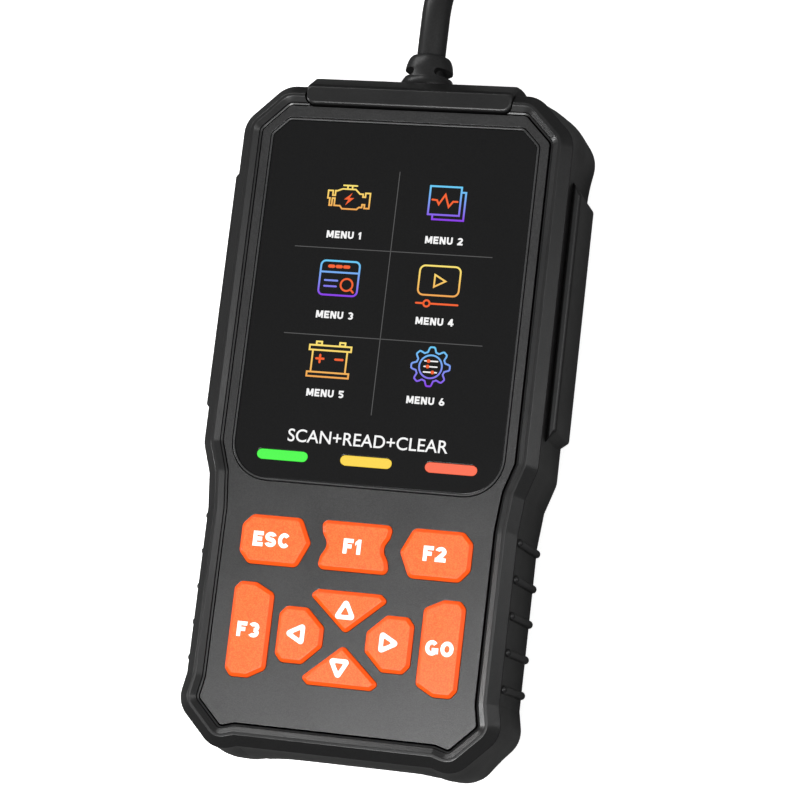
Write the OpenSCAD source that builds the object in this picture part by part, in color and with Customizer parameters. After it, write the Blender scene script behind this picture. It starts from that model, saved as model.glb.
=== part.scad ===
// Handheld diagnostic code reader: a two-part casing in a rubber bumper, with a colour screen,
// three status lamps, nine keys and a lead that ends in a 16-pin vehicle plug.
// It lies on its back: +Z points out of the screen, +Y towards the lead, z = 0 is the surface below.

/* [Face] */
// Half width of the face beside the screen
face_half_w = 40.3; // [40:0.1:41]
// Half width of the face beside the keys
grip_half_w = 36.8; // [36.4:0.1:37.2]
// Height of the face's top edge above the middle
face_top = 83; // [82.5:0.1:83.5]
// Distance of the face's bottom edge below the middle
face_bottom = 85.5; // [85:0.1:86]
// Size of the cut across each top corner of the face
top_cut = 7.3; // [6.5:0.1:8]
// Height of the face above the surface below
face_z = 35; // [34.5:0.1:35.5]
// Thickness of the face plate
plate_t = 2.6; // [2.4:0.1:2.8]
// Thickness of the casing walls
wall = 2; // [1.6:0.1:2.2]
// Height of the joint between the two casing halves
split_z = 17; // [16:0.5:18]

/* [Bumper] */
// Width of the bumper around the face
bumper_w = 5.8; // [5.4:0.1:6.2]
// Height of the bumper's ridge above the face
ridge_rise = 1; // [0.8:0.1:1.2]
// Half width across the side rails
rail_half_w = 48.7; // [48.2:0.1:49.2]
// Radius of the grip ribs beside the keys
rib_r = 1.1; // [0.9:0.1:1.3]
// Number of grip ribs on each side
rib_count = 5; // [3:1:5]

/* [Screen] */
// Half width of the screen's clear lens
lens_half_w = 36.9; // [36.5:0.1:37]
// Thickness of the clear lens
lens_t = 1.5; // [1.3:0.1:1.6]
// Width of the rim around the lens
rim_w = 0.8; // [0.7:0.1:0.9]
// Half width of the display's glass
display_half_w = 30.5; // [29:0.5:31]

/* [Keys] */
// How far each key is pressed in
key_travel = 0.8; // [0.5:0.1:0.8]
// Height of a key's top above the face
key_rise = 1; // [0.9:0.1:1.1]
// Gap between each key and the edge of its opening
key_gap = 0.3; // [0.25:0.05:0.35]
// Width of the flange that holds a key in
key_flange = 0.9; // [0.8:0.05:0.95]

/* [Lamps] */
// Length of each status lamp's window
lamp_l = 14; // [12:0.5:14.5]
// Width of each status lamp's window
lamp_w = 2.6; // [2.2:0.1:3]

/* [Lead] */
// Diameter of the lead
lead_d = 8; // [7.6:0.1:8.2]
// Height of the lead where it leaves the casing
lead_z = 17; // [16.5:0.5:17.5]

/* [Plug] */
// Width of the plug's grip
plug_w = 46; // [44:1:48]
// Thickness of the plug's grip
plug_t = 25; // [24:1:26]
// Distance between neighbouring pins
pin_pitch = 4; // [3.8:0.1:4]
// Distance between the two rows of pins
pin_rows = 8.4; // [8:0.1:8.6]

/* [Hidden] */

arc_steps = 4;               // steps round each corner of an outline
fine = 48;                   // sides of a round piece
fit_gap = 0.2;               // gap between the casing and the bumper
slip = 0.1;                  // gap round an inner piece in its seat
plate_z = face_z - plate_t;  // underside of the face plate
top_z = face_z + ridge_rise; // highest point of the bumper

// Colours
rubber_black = "#2b2c2e";
case_grey = "#4a4b4d";
key_orange = "#fb7f45";
board_green = "#1f6b46";
steel = "#b9bcc0";
part_black = "#1d1d1f";

// The face's outline, right half from bottom to top: x, y, corner radius
face_half = [
    [27.2, -face_bottom, 3],
    [31, -face_bottom - 1.1, 1.5],
    [grip_half_w + 1.1, -face_bottom + 5.8, 1.5],
    [grip_half_w, -face_bottom + 11.5, 6],
    [grip_half_w, -29, 14],
    [grip_half_w + 1, -18.6, 8],
    [face_half_w, -10.9, 1.5],
    [face_half_w, face_top - top_cut, 2],
    [face_half_w - top_cut, face_top, 2]
];
// How far the bumper's outline swells between its front edge and its middle, point by point
bumper_swell = [
    [0, -1.2], [0.5, -1.2], [1, -0.5], [0, 0], [0, 0], [0, 0], [0, 0], [1.9, 2.6], [2.8, 0]
];

// Key outlines: x, y, corner radius
side_key_top = -48;
side_key_bottom = -73.3;
exit_outline = mirrored([
    [12.2, -36.5, 1.4], [15.3, -43.2, 2], [28.9, -43.2, 2], [31.6, -40.1, 2],
    [31.6, -32.8, 2], [28.9, -30, 2], [15.3, -30, 2]
]);
codes_outline = [
    [-9.9, -29.9, 1.6], [-9.2, -33.4, 3], [-7.4, -36.4, 3], [-9.2, -39.4, 3], [-9.9, -43, 1.6],
    [9.9, -43, 1.6], [9.2, -39.4, 3], [7.4, -36.4, 3], [9.2, -33.4, 3], [9.9, -29.9, 1.6]
];
ok_outline = [
    [20.4, -70.7, 1.6], [25.2, side_key_bottom, 2], [30, side_key_bottom, 1.6], [31.6, -71.2, 1.6],
    [31.6, -49.8, 1.6], [30, side_key_top, 1.6], [25.6, side_key_top, 2], [20.4, -50.6, 1.6]
];
up_outline = [
    [0, -59.3, 1.4], [10.6, -49.9, 0.9], [8.6, -48.2, 0.9], [-8.6, -48.2, 0.9], [-10.6, -49.9, 0.9]
];
right_outline = [
    [5.8, -63.4, 1.4], [10.8, -68.3, 1.6], [16.6, -68.3, 1.6], [18.4, -66.2, 1.4],
    [18.4, -55.5, 1.4], [16.6, -53.4, 1.6], [10.8, -53.4, 1.6], [5.8, -58.2, 1.4]
];
pad_mid = -60.8;             // height of the middle of the direction keys

// Key centres, where the switches sit
key_spots = [
    [-23, -36.6], [0, -36.5], [23, -36.6], [-26.2, -60.7], [26.2, -60.7],
    [0, -52.2], [0, -69.4], [-12.8, pad_mid], [12.8, pad_mid]
];
stem_r = 2.2;
flange_t = 0.8;
flange_z = plate_z - 0.2 - flange_t;   // underside of a key's flange at rest
switch_top = 28.6;
stem_z = switch_top + key_travel + 0.05;

// Inner layout
board_z = 22;
board_t = 1.6;
board_top = board_z + board_t;
board_half_w = 31;
board_bottom_y = -76;
board_top_y = 70;
mat_z = 29.4;
mat_t = 1;
lamp_y = -13.6;
lamp_pitch = 23.2;
lens_top = 79.6 - rim_w;
lens_bottom = -20.9 + rim_w;
pocket_z = face_z - lens_t - 0.2;      // floor of the lens pocket
case_bosses = [[30, 76.8], [34.4, 24], [29, -79.6]];
board_posts = [[27, 64], [27, -47.2]];
mat_pegs = [[18.4, -45.6], [18.4, -76.2]];
clamp_spots = [-8, 8];
clamp_y = 74;

// Strain relief stations along Y
relief_in = 77.6;
relief_out = 103;
cap_y = 92.5;
cap_back = 93.5;

// Lead: hand-chosen route of the stretch from the strain relief to the coil
lead_r = lead_d / 2;
lead_start_y = 67;           // where the lead's jacket ends inside the casing
lead_end_y = 92;             // where the stretch inside the casing ends
lead_route = [
    [0, lead_end_y, 17], [0, 98, 17], [0, 104, 17], [0, 112, 17], [0, 118, 16.6], [0.4, 124, 15.3],
    [1.4, 130, 13], [3.1, 136, 10], [5.5, 142, 7.2], [8.5, 148, 5.3], [10.9, 154, 4.3]
];
coil_mid = [-30.4, 178];
coil_in_r = 36;
coil_out_r = 44.4;
coil_low_z = 4.1;
coil_high_z = 12.5;
tie_w = 14;
plug_x = coil_mid.x + coil_out_r;
tail_route = [for (y = [178, 186, 194, 202, 210.7]) [plug_x, y, coil_high_z]];

// Plug stations along Y
boot_y = 210;
plug_y = 228;
insert_y = 256;
shroud_y = 266;
plug_mouth = 281;
plug_z = plug_t / 2;
pin_l = 10;

// ---------------------------------------------------------------- outlines

function unit(v) = v / norm(v);
function flat(p) = [p.x, p.y];
function mirrored(p) = [for (i = [len(p) - 1:-1:0]) [-p[i].x, p[i].y, p[i].z]];
function flipped(p, mid) = [for (i = [len(p) - 1:-1:0]) [p[i].x, 2 * mid - p[i].y, p[i].z]];
function both(half) = concat(half, mirrored(half));
function right_of(a, b) = let (u = unit(b - a)) [u.y, -u.x];

// Points round the corner at p, between a and b
function corner(a, p, b, r) =
    let (
        u = unit(a - p),
        v = unit(b - p),
        half = acos(u * v) / 2,
        mid = p + unit(u + v) * r / sin(half),
        from = p + u * r / tan(half) - mid,
        start = atan2(from.y, from.x),
        turn = (cross(u, v) < 0 ? 1 : -1) * (180 - 2 * half)
    )
    [for (i = [0:arc_steps]) mid + r * [cos(start + turn * i / arc_steps), sin(start + turn * i / arc_steps)]];

// An outline with its corners rounded
function rounded(p) =
    let (n = len(p))
    [for (i = [0:n - 1]) each corner(flat(p[(i + n - 1) % n]), flat(p[i]), flat(p[(i + 1) % n]), p[i].z)];

// An outline moved outwards by d
function grown(p, d) =
    let (n = len(p))
    [for (i = [0:n - 1])
        let (
            a = flat(p[(i + n - 1) % n]),
            c = flat(p[i]),
            b = flat(p[(i + 1) % n]),
            s = right_of(a, c),
            t = right_of(c, b),
            q = c + (s + t) * d / (1 + s * t),
            bend = cross(c - a, b - c) > 0 ? 1 : -1
        )
        [q.x, q.y, max(0.3, p[i].z + bend * d)]];

function swollen(p, move, share) =
    [for (i = [0:len(p) - 1]) [p[i].x + share * move[i].x, p[i].y + share * move[i].y, p[i].z]];

function face(d) = rounded(grown(both(face_half), d));

// The bumper's outer outline: d beyond the face, swollen by a share
function bumper_ring(d, share) =
    let (wide = grown(both(face_half), d), n = len(face_half))
    rounded(both(swollen([for (i = [0:n - 1]) wide[i]], bumper_swell, share)));

function lens_half(d) = [
    [lens_half_w + d, lens_bottom - d, 10 + d],
    [lens_half_w + d, lens_top - 4.3 + 0.41 * d, 1.2 + d],
    [lens_half_w - 4.3 + 0.41 * d, lens_top + d, 1.2 + d]
];
function lens_ring(d) = rounded(both(lens_half(d)));

// ---------------------------------------------------------------- shapes

module prism(p, low, high) {
    translate([0, 0, low]) linear_extrude(height = high - low) polygon(p);
}

module box(low, high) {
    translate(low) cube(high - low);
}

module pillar(x, y, low, high, r) {
    translate([x, y, low]) cylinder(h = high - low, r = r, $fn = fine);
}

module along_y(low, high, r, z) {
    translate([0, low, z]) rotate([-90, 0, 0]) cylinder(h = high - low, r = r, $fn = fine);
}

module on_both_sides() {
    children();
    mirror([1, 0, 0]) children();
}

// A closed skin through rings of equal length, each a list of points with its height
module loft(rings, ring_shaped = false) {
    n = len(rings[0][1]);
    m = len(rings);
    last = ring_shaped ? m - 1 : m - 2;
    points = [for (r = rings) for (q = r[1]) [q.x, q.y, r[0]]];
    sides = [for (k = [0:last]) for (i = [0:n - 1])
        let (up = ((k + 1) % m) * n, next = (i + 1) % n)
        [k * n + i, up + i, up + next, k * n + next]];
    caps = ring_shaped ? [] : [[for (i = [0:n - 1]) i], [for (i = [n - 1:-1:0]) (m - 1) * n + i]];
    polyhedron(points, concat(sides, caps), convexity = 8);
}

// A tube swept along a route that stays in a plane x = constant
module tube(route, r) {
    sides = 10;
    m = len(route);
    points = [for (k = [0:m - 1])
        let (
            before = route[max(k - 1, 0)],
            after = route[min(k + 1, m - 1)],
            run = unit(after - before),
            up = [0, -run.z, run.y]
        )
        for (i = [0:sides - 1])
            route[k] + r * cos(i * 360 / sides) * [1, 0, 0] + r * sin(i * 360 / sides) * up];
    skin = [for (k = [0:m - 2]) for (i = [0:sides - 1])
        let (next = (i + 1) % sides)
        [k * sides + i, k * sides + next, (k + 1) * sides + next, (k + 1) * sides + i]];
    ends = [[for (i = [sides - 1:-1:0]) i], [for (i = [0:sides - 1]) (m - 1) * sides + i]];
    polyhedron(points, concat(skin, ends), convexity = 4);
}

// ---------------------------------------------------------------- casing

module boss_pairs(spots) {
    on_both_sides() for (s = spots) translate([s.x, s.y, 0]) children();
}

module rear_case() {
    color(part_black) difference() {
        union() {
            difference() {
                union() {
                    prism(face(-2.4), 0, 0.8);
                    prism(face(-1.4), 0.8, 1.8);
                    prism(face(-fit_gap), 1.8, split_z);
                }
                prism(face(-fit_gap - wall), 2.4, split_z + 1);
            }
            boss_pairs(case_bosses) cylinder(h = split_z, r = 3, $fn = fine);
            boss_pairs(board_posts) cylinder(h = board_z, r = 2.6, $fn = fine);
            for (x = clamp_spots) pillar(x, clamp_y, 1, 15, 2.4);
            box([-4, clamp_y - 2, 1], [4, clamp_y + 2, lead_z - lead_r - slip]);
        }
        boss_pairs(case_bosses) translate([0, 0, -1]) cylinder(h = split_z + 2, r = 1.35, $fn = fine);
        boss_pairs(case_bosses) translate([0, 0, -1]) cylinder(h = 5, r = 2.5, $fn = fine);
        boss_pairs(board_posts) translate([0, 0, board_z - 7]) cylinder(h = 8, r = 1.05, $fn = fine);
        for (x = clamp_spots) pillar(x, clamp_y, 7, 16, 0.95);
        along_y(face_top - 6, face_top + 1, 5.2, lead_z);
        box([-24, 26, -1], [24, 62, 0.5]);
    }
}

module front_case() {
    color(case_grey) difference() {
        union() {
            prism(face(-0.3), face_z - plate_t, face_z);
            difference() {
                prism(face(-0.3), split_z, plate_z + 0.5);
                prism(face(-0.3 - wall), split_z - 1, plate_z);
            }
            boss_pairs(case_bosses) translate([0, 0, split_z]) cylinder(h = plate_z - split_z + 0.5, r = 3, $fn = fine);
            boss_pairs(mat_pegs) translate([0, 0, mat_z]) cylinder(h = plate_z - mat_z + 0.5, r = 1, $fn = fine);
        }
        prism(lens_ring(rim_w), pocket_z, face_z + 1);
        box([-display_half_w + 1, -6, plate_z - 1], [display_half_w - 1, 74, face_z]);
        for (i = [-1:1]) prism(lamp_outline(i, 0.15), plate_z - 1, face_z);
        for (p = key_outlines()) prism(rounded(grown(p, key_gap)), plate_z - 1, face_z + 1);
        boss_pairs(case_bosses) translate([0, 0, split_z - 1]) cylinder(h = 12, r = 1.05, $fn = fine);
        along_y(face_top - 6, face_top + 1, 5.2, lead_z);
    }
}

module bumper() {
    inner = fit_gap / 2;
    levels = [
        [2.4, 2.6, 0.4], [4, 4.8, 0.8], [7.5, bumper_w, 1], [16, bumper_w, 1], [26, bumper_w, 0.6],
        [33, bumper_w, 0], [top_z - 0.25, 2.9, 0], [top_z, 2.3, 0]
    ];
    outside = [for (v = levels) [v[0], bumper_ring(v[1], v[2])]];
    inside = [[top_z - 0.15, face(1.8)], [face_z + 0.1, face(inner + 0.3)], [face_z - 0.6, face(inner)], [2.4, face(inner)]];
    color(rubber_black) difference() {
        union() {
            loft(concat(outside, inside), true);
            on_both_sides() side_rail();
            on_both_sides() for (i = [0:rib_count - 1]) grip_rib(-31 - 9.55 * i);
        }
        box([-29, face_top - 2, 7.8], [29, cap_y + 2, top_z + 1]);
    }
}

// A raised rail along the side beside the screen
module side_rail() {
    root_x = face_half_w + bumper_w - 2;
    function rail(thin, short) = [
        [root_x, -4 + short], [rail_half_w - thin, -0.5 + short], [rail_half_w - thin, 64 - short], [root_x, 67.5 - short]
    ];
    loft([
        [7.4, rail(0.8, 1)],
        [8.4, rail(0, 0)],
        [27.2, rail(0, 0)],
        [28.6, rail(1.2, 0)]
    ]);
}

module grip_rib(y) {
    x = grip_half_w + bumper_w;
    pillar(x, y, 6.5, 30.4, rib_r);
    translate([x, y, 30.4]) sphere(r = rib_r, $fn = 32);
}

// The cap over the top end, which the lead passes through
module end_cap() {
    half = 28.8;
    low = face_top + 0.3;
    function plan(w, high, r) = rounded([[w, low, r], [w, high, 1], [-w, high, 1], [-w, low, r]]);
    color(rubber_black) difference() {
        loft([
            [8, plan(half - 1, cap_back - 1.4, 1)],
            [9.4, plan(half, cap_back, 1)],
            [22, plan(half, cap_back, 1)],
            [29.5, plan(half, cap_y, 1)],
            [face_z + 0.2, plan(half, 88.9, 2.4)],
            [top_z, plan(half - 0.5, 88, 2.4)]
        ]);
        along_y(low - 1, cap_back + 1, 7.4, lead_z);
    }
}

// ---------------------------------------------------------------- screen

module screen_lens() {
    color("#18191b") difference() {
        prism(lens_ring(-slip), face_z - lens_t - 0.1, face_z - 0.1);
        for (i = [-1:1]) prism(lamp_outline(i, 0.12), 0, face_z + 1);
    }
}

module lens_rim() {
    color("#5a5b5e") difference() {
        prism(lens_ring(rim_w - slip), pocket_z, face_z + 0.15);
        prism(lens_ring(0), pocket_z - 1, face_z + 1);
    }
}

module display_module() {
    color("#2d2f36") union() {
        box([-display_half_w, -9, plate_z - 3.1], [display_half_w, 73, plate_z - 0.7]);
        box([-display_half_w + 1.5, -5.5, plate_z - 0.7], [display_half_w - 1.5, 72, plate_z + 0.6]);
    }
}

module display_flex() {
    color("#b5722a") translate([-9, 0, 0]) rotate([90, 0, 90]) linear_extrude(height = 18) polygon([
        [-9.1, 30.9], [-11.4, 30.2], [-12, 28.4], [-12, 25.6], [-11.2, 23.7], [-3, 23.7],
        [-3, 24], [-10.9, 24], [-11.6, 25.7], [-11.6, 28.2], [-11.1, 29.8], [-9.1, 30.5]
    ]);
}

// ---------------------------------------------------------------- board

module main_board() {
    color(board_green) difference() {
        box([-board_half_w, board_bottom_y, board_z], [board_half_w, board_top_y, board_top]);
        boss_pairs(board_posts) translate([0, 0, board_z - 1]) cylinder(h = 4, r = 1.3, $fn = fine);
        box([-7, 61, board_z - 1], [7, board_top_y + 1, board_top + 1]);
    }
}

module chip(x, y, w, l, h) {
    box([x - w / 2, y - l / 2, board_top], [x + w / 2, y + l / 2, board_top + h]);
}

module board_chips() {
    color(part_black) {
        chip(-12, 14, 14, 14, 1.2);
        chip(8, 20, 8, 6, 1);
        chip(18, 8, 5, 6, 1);
        chip(2, 40, 10, 8, 1.4);
        chip(-18, 44, 5, 5, 0.9);
        chip(19, 44, 6.5, 6.5, 3);
        chip(-2, 1, 11, 4.5, 3.2);
        pillar(20, 30, board_top, board_top + 4.4, 3.1);
        pillar(20, 22, board_top, board_top + 4.4, 3.1);
    }
}

module key_switches() {
    color(steel) for (s = key_spots) {
        chip(s.x, s.y, 6, 6, 3.6);
        pillar(s.x, s.y, board_top + 3.5, switch_top, 1.75);
    }
}

module status_leds() {
    color("white") for (i = [-1:1]) for (side = [-1, 1]) chip(i * lamp_pitch + side * 3.5, lamp_y, 3, 1.6, 1.1);
}

module buzzer() {
    color(part_black) pillar(-20, 28, board_top, board_top + 4.5, 5);
}

module lead_header() {
    color("ivory") difference() {
        chip(0, 56, 16, 7, 5);
        box([-6.8, 55, board_top + 1], [6.8, 61, board_top + 3.6]);
    }
}

// ---------------------------------------------------------------- keys

function key_outlines() = [
    exit_outline, codes_outline, mirrored(exit_outline), mirrored(ok_outline), ok_outline,
    up_outline, flipped(up_outline, pad_mid), mirrored(right_outline), right_outline
];

module key(i) {
    p = key_outlines()[i];
    color(key_orange) union() {
        loft([
            [flange_z, rounded(grown(p, key_flange))],
            [flange_z + flange_t, rounded(grown(p, key_flange))],
            [flange_z + flange_t, rounded(p)],
            [face_z + 0.2, rounded(p)],
            [face_z + key_rise - 0.25, rounded(grown(p, -0.35))],
            [face_z + key_rise, rounded(grown(p, -1))]
        ]);
        pillar(key_spots[i].x, key_spots[i].y, stem_z, flange_z + 0.5, stem_r);
    }
}

module key_exit() { key(0); }
module key_codes() { key(1); }
module key_battery() { key(2); }
module key_monitor() { key(3); }
module key_ok() { key(4); }
module key_up() { key(5); }
module key_down() { key(6); }
module key_left() { key(7); }
module key_right() { key(8); }

module keypad_mat() {
    color("#3a3a3c") difference() {
        box([-33.2, -78, mat_z], [33.2, -27.6, mat_z + mat_t]);
        for (s = key_spots) pillar(s.x, s.y, mat_z - 1, mat_z + 3, stem_r + 0.5);
        boss_pairs(mat_pegs) translate([0, 0, mat_z - 1]) cylinder(h = 4, r = 1.1, $fn = fine);
        boss_pairs([[29, -79.6]]) translate([0, 0, mat_z - 1]) cylinder(h = 4, r = 3.4, $fn = fine);
    }
}

// ---------------------------------------------------------------- lamps

function lamp_outline(i, d) =
    let (r = lamp_w / 2 + d, run = (lamp_l - lamp_w) / 2, steps = 8)
    [for (end = [0, 1]) for (k = [0:steps])
        [i * lamp_pitch + (end == 0 ? run : -run) + r * cos(-90 + 180 * (end + k / steps)),
         lamp_y + r * sin(-90 + 180 * (end + k / steps))]];

module lamp(i, tint) {
    color(tint) union() {
        prism(lamp_outline(i, 0), plate_z - 2, face_z - 0.05);
        box([i * lamp_pitch - 5.5, lamp_y - 1, board_top + 1.3], [i * lamp_pitch + 5.5, lamp_y + 1, plate_z - 1.5]);
    }
}

module lamp_green() { lamp(-1, "#52f552"); }
module lamp_yellow() { lamp(0, "#ffd84e"); }
module lamp_red() { lamp(1, "#ff7a5a"); }

// ---------------------------------------------------------------- screws

module case_screws() {
    color(steel) boss_pairs(case_bosses) {
        translate([0, 0, 2.1]) cylinder(h = 1.8, r = 2.3, $fn = fine);
        translate([0, 0, 3.5]) cylinder(h = 24, r = 1, $fn = fine);
    }
}

module board_screws() {
    color(steel) boss_pairs(board_posts) {
        translate([0, 0, board_top]) cylinder(h = 1.4, r = 2, $fn = fine);
        translate([0, 0, board_z - 6]) cylinder(h = 8, r = 1, $fn = fine);
    }
}

module clamp_screws() {
    color(steel) for (x = clamp_spots) {
        pillar(x, clamp_y, 21.5, 22.9, 1.8);
        pillar(x, clamp_y, 8, 22, 0.9);
    }
}

// ---------------------------------------------------------------- lead

module lead_clamp() {
    color(part_black) difference() {
        box([-11, clamp_y - 2.4, 15], [11, clamp_y + 2.4, 21.5]);
        along_y(clamp_y - 4, clamp_y + 4, lead_r + slip, lead_z);
        box([-lead_r - slip, clamp_y - 4, 14], [lead_r + slip, clamp_y + 4, lead_z]);
        for (x = clamp_spots) pillar(x, clamp_y, 14, 23, 1);
    }
}

module strain_relief() {
    stations = [
        [0, relief_in], [7, relief_in], [7, relief_in + 2.6], [5.1, relief_in + 2.6], [5.1, 83.4],
        [7.2, 83.4], [7.2, cap_back + 0.2], [7.6, cap_back + 0.2], [7.5, 95.4], [7.1, 96.4],
        [6.7, 99], [6.5, 100.2], [5.9, 102.3], [5.4, 102.9], [5.2, relief_out], [0, relief_out]
    ];
    color(rubber_black) difference() {
        translate([0, 0, lead_z]) rotate([-90, 0, 0]) rotate_extrude($fn = fine) polygon(stations);
        along_y(relief_in - 1, relief_out + 1, lead_r + 0.05, lead_z);
        on_both_sides() difference() {
            union() {
                box([2.8, 96.8, 0], [9, 99, 34]);
                translate([2.8, 97.9, 0]) cylinder(h = 34, r = 1.1, $fn = 24);
            }
            along_y(95, 101, 5.1, lead_z);
        }
    }
}

module lead_inner() {
    color(rubber_black) along_y(lead_start_y, lead_end_y, lead_r, lead_z);
}

module lead_wires() {
    color("#c94f3b") for (i = [0:5]) translate([-5.5 + 2.2 * i, 0, 0]) rotate([90, 0, 90]) linear_extrude(height = 1) polygon([
        [lead_start_y, 17.8], [lead_start_y, 16.8], [64.6, 17.2], [63, 20], [62.4, 25.2],
        [56.5, 25.2], [56.5, 26.2], [63.3, 26.2], [64, 20.4], [65.2, 18.2]
    ]);
}

module lead_out() {
    color(rubber_black) tube(lead_route, lead_r);
}

module lead_coil() {
    color(rubber_black) translate([coil_mid.x, coil_mid.y, 0]) rotate_extrude($fn = 72) translate([coil_in_r - lead_r, coil_low_z - lead_r])
        square([coil_out_r - coil_in_r + lead_d, coil_high_z - coil_low_z + lead_d]);
}

module coil_tie() {
    color(part_black) translate([coil_mid.x - (coil_in_r + coil_out_r) / 2, coil_mid.y, 0]) difference() {
        box([-10, -tie_w / 2, 0], [10, tie_w / 2, 18]);
        box([-8.4, -tie_w, 0.8], [8.4, tie_w, 16.7]);
    }
}

module lead_tail() {
    color(rubber_black) tube(tail_route, lead_r);
}

// ---------------------------------------------------------------- plug

module plug_boot() {
    color(rubber_black) translate([plug_x, 0, 0]) difference() {
        translate([0, boot_y, plug_z]) rotate([-90, 0, 0]) rotate_extrude($fn = fine)
            polygon([[0, 0], [5.4, 0], [6, 0.8], [8.4, 17.8], [0, 17.8]]);
        along_y(boot_y - 1, boot_y + 0.8, lead_r + 0.05, plug_z);
    }
}

// An outline across the plug, as points in X and Z, made solid from y = low to high
module across(p, low, high) {
    translate([0, high, plug_z]) rotate([90, 0, 0]) linear_extrude(height = high - low) polygon(p);
}

function d_outline(wide, narrow, high) = rounded([
    [wide / 2, -high / 2, 2.4], [wide / 2, -0.5, 1.2], [narrow / 2, high / 2, 2.4],
    [-narrow / 2, high / 2, 2.4], [-wide / 2, -0.5, 1.2], [-wide / 2, -high / 2, 2.4]
]);

module plug_shell() {
    grip = [
        [plug_w / 2, -plug_t / 2, 5], [plug_w / 2, plug_t / 2, 5],
        [-plug_w / 2, plug_t / 2, 5], [-plug_w / 2, -plug_t / 2, 5]
    ];
    color(part_black) translate([plug_x, 0, 0]) difference() {
        union() {
            across(rounded(grown(grip, -3)), plug_y, plug_y + 3);
            across(rounded(grip), plug_y + 3, shroud_y);
            across(d_outline(39, 33, 19.6), shroud_y - 1, plug_mouth);
        }
        across(d_outline(36, 30, 16.6), insert_y, plug_mouth + 1);
    }
}

module plug_insert() {
    color("#3c3d40") translate([plug_x, 0, 0]) difference() {
        union() {
            across(d_outline(35.8, 29.8, 16.4), insert_y, shroud_y + 1);
            box([-13, shroud_y, plug_z - 1.2], [13, shroud_y + 4, plug_z + 1.2]);
        }
        for (row = [-1, 1]) for (k = [0:7]) pin_box(row, k, insert_y - 1, shroud_y + 2, 0.1);
    }
}

module pin_box(row, k, low, high, gap) {
    x = (k - 3.5) * pin_pitch;
    z = plug_z + row * pin_rows / 2;
    box([x - 0.8 - gap, low, z - 0.35 - gap], [x + 0.8 + gap, high, z + 0.35 + gap]);
}

module plug_pins() {
    color("#c9a44a") translate([plug_x, 0, 0]) for (row = [-1, 1]) for (k = [0:7])
        pin_box(row, k, insert_y + 0.1, shroud_y + pin_l, 0);
}

rear_case();
front_case();
bumper();
end_cap();
screen_lens();
lens_rim();
display_module();
display_flex();
main_board();
board_chips();
key_switches();
status_leds();
buzzer();
lead_header();
keypad_mat();
key_exit();
key_codes();
key_battery();
key_monitor();
key_ok();
key_up();
key_down();
key_left();
key_right();
lamp_green();
lamp_yellow();
lamp_red();
case_screws();
board_screws();
lead_clamp();
clamp_screws();
strain_relief();
lead_inner();
lead_wires();
lead_out();
lead_coil();
coil_tie();
lead_tail();
plug_boot();
plug_shell();
plug_insert();
plug_pins();
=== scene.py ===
"""Looks of the handheld diagnostic code reader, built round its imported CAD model.

The reader lies on its back: +Z comes out of the screen, +Y runs towards the lead, z = 0 is the table.
Shapes are worked out in millimetres and become metres in new_mesh(), add_cord() and add_title().
"""

from math import acos, atan2, cos, exp, pi, radians, sin, tan

import bmesh
import bpy
from mathutils import Matrix, Vector
from mathutils.geometry import convex_hull_2d


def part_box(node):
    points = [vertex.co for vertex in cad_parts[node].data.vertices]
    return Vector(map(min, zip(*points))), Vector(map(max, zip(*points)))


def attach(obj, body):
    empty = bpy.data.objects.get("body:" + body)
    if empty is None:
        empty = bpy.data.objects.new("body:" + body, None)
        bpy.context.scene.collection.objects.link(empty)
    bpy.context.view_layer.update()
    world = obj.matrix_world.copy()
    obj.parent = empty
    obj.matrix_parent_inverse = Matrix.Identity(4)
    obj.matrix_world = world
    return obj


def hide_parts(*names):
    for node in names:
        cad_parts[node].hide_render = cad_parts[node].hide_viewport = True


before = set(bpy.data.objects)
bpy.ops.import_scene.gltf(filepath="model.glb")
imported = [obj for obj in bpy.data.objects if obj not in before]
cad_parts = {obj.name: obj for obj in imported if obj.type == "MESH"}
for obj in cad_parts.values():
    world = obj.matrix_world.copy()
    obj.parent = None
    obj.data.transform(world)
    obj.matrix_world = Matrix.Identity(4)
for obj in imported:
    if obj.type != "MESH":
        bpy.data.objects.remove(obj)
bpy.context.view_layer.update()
scene = bpy.context.scene

MM = 0.001
WELD = 1e-6   # vertices nearer than this become one, in m
BODY = "casing"


def low(node):
    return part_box(node)[0] / MM


def high(node):
    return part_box(node)[1] / MM


# ---- driving dimensions, in mm

FACE_Z = high("front_case").z   # the face plate's top
RIDGE_Z = high("bumper").z   # the bumper's ridge
BUMPER_LOW = low("bumper").z
RAIL_X = high("bumper").x
SPLIT_Z = low("front_case").z
PLATE_T = 2.6
BUMPER_W = 5.8
CAP_HALF, CAP_BACK_Y, _ = high("end_cap")
CAP_LOW_Y = low("end_cap").y
CAP_EDGE_Y = CAP_BACK_Y - 1
LENS_BASE = low("screen_lens").z
LENS_LOW = low("screen_lens").y
LENS_HALF, LENS_HIGH, LENS_Z = high("screen_lens")
RIM_W = 0.6
KEY_Z = high("key_ok").z
KEY_LOW_Z = low("key_ok").z
LEAD_D = high("lead_inner").x - low("lead_inner").x
LEAD_R = LEAD_D / 2
LEAD_Z = (high("lead_inner").z + low("lead_inner").z) / 2
RELIEF_END = high("strain_relief").y
PLUG_Z = (high("plug_shell").z + low("plug_shell").z) / 2

# The face's outline, right half from bottom to top: x, y, corner radius
FACE_HALF = [
    (27.2, -85.5, 3), (31, -86.6, 1.5), (37.9, -79.7, 1.5), (36.8, -74, 6), (36.8, -29, 14),
    (37.8, -18.6, 8), (40.3, -10.9, 1.5), (40.3, 75.7, 2), (33, 83, 2),
]


# ---- outlines

def mirrored(points):
    return [(-x, y, r) for x, y, r in reversed(points)]


def flipped(points, mid):
    return [(x, 2 * mid - y, r) for x, y, r in reversed(points)]


def both(half):
    return list(half) + mirrored(half)


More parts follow.
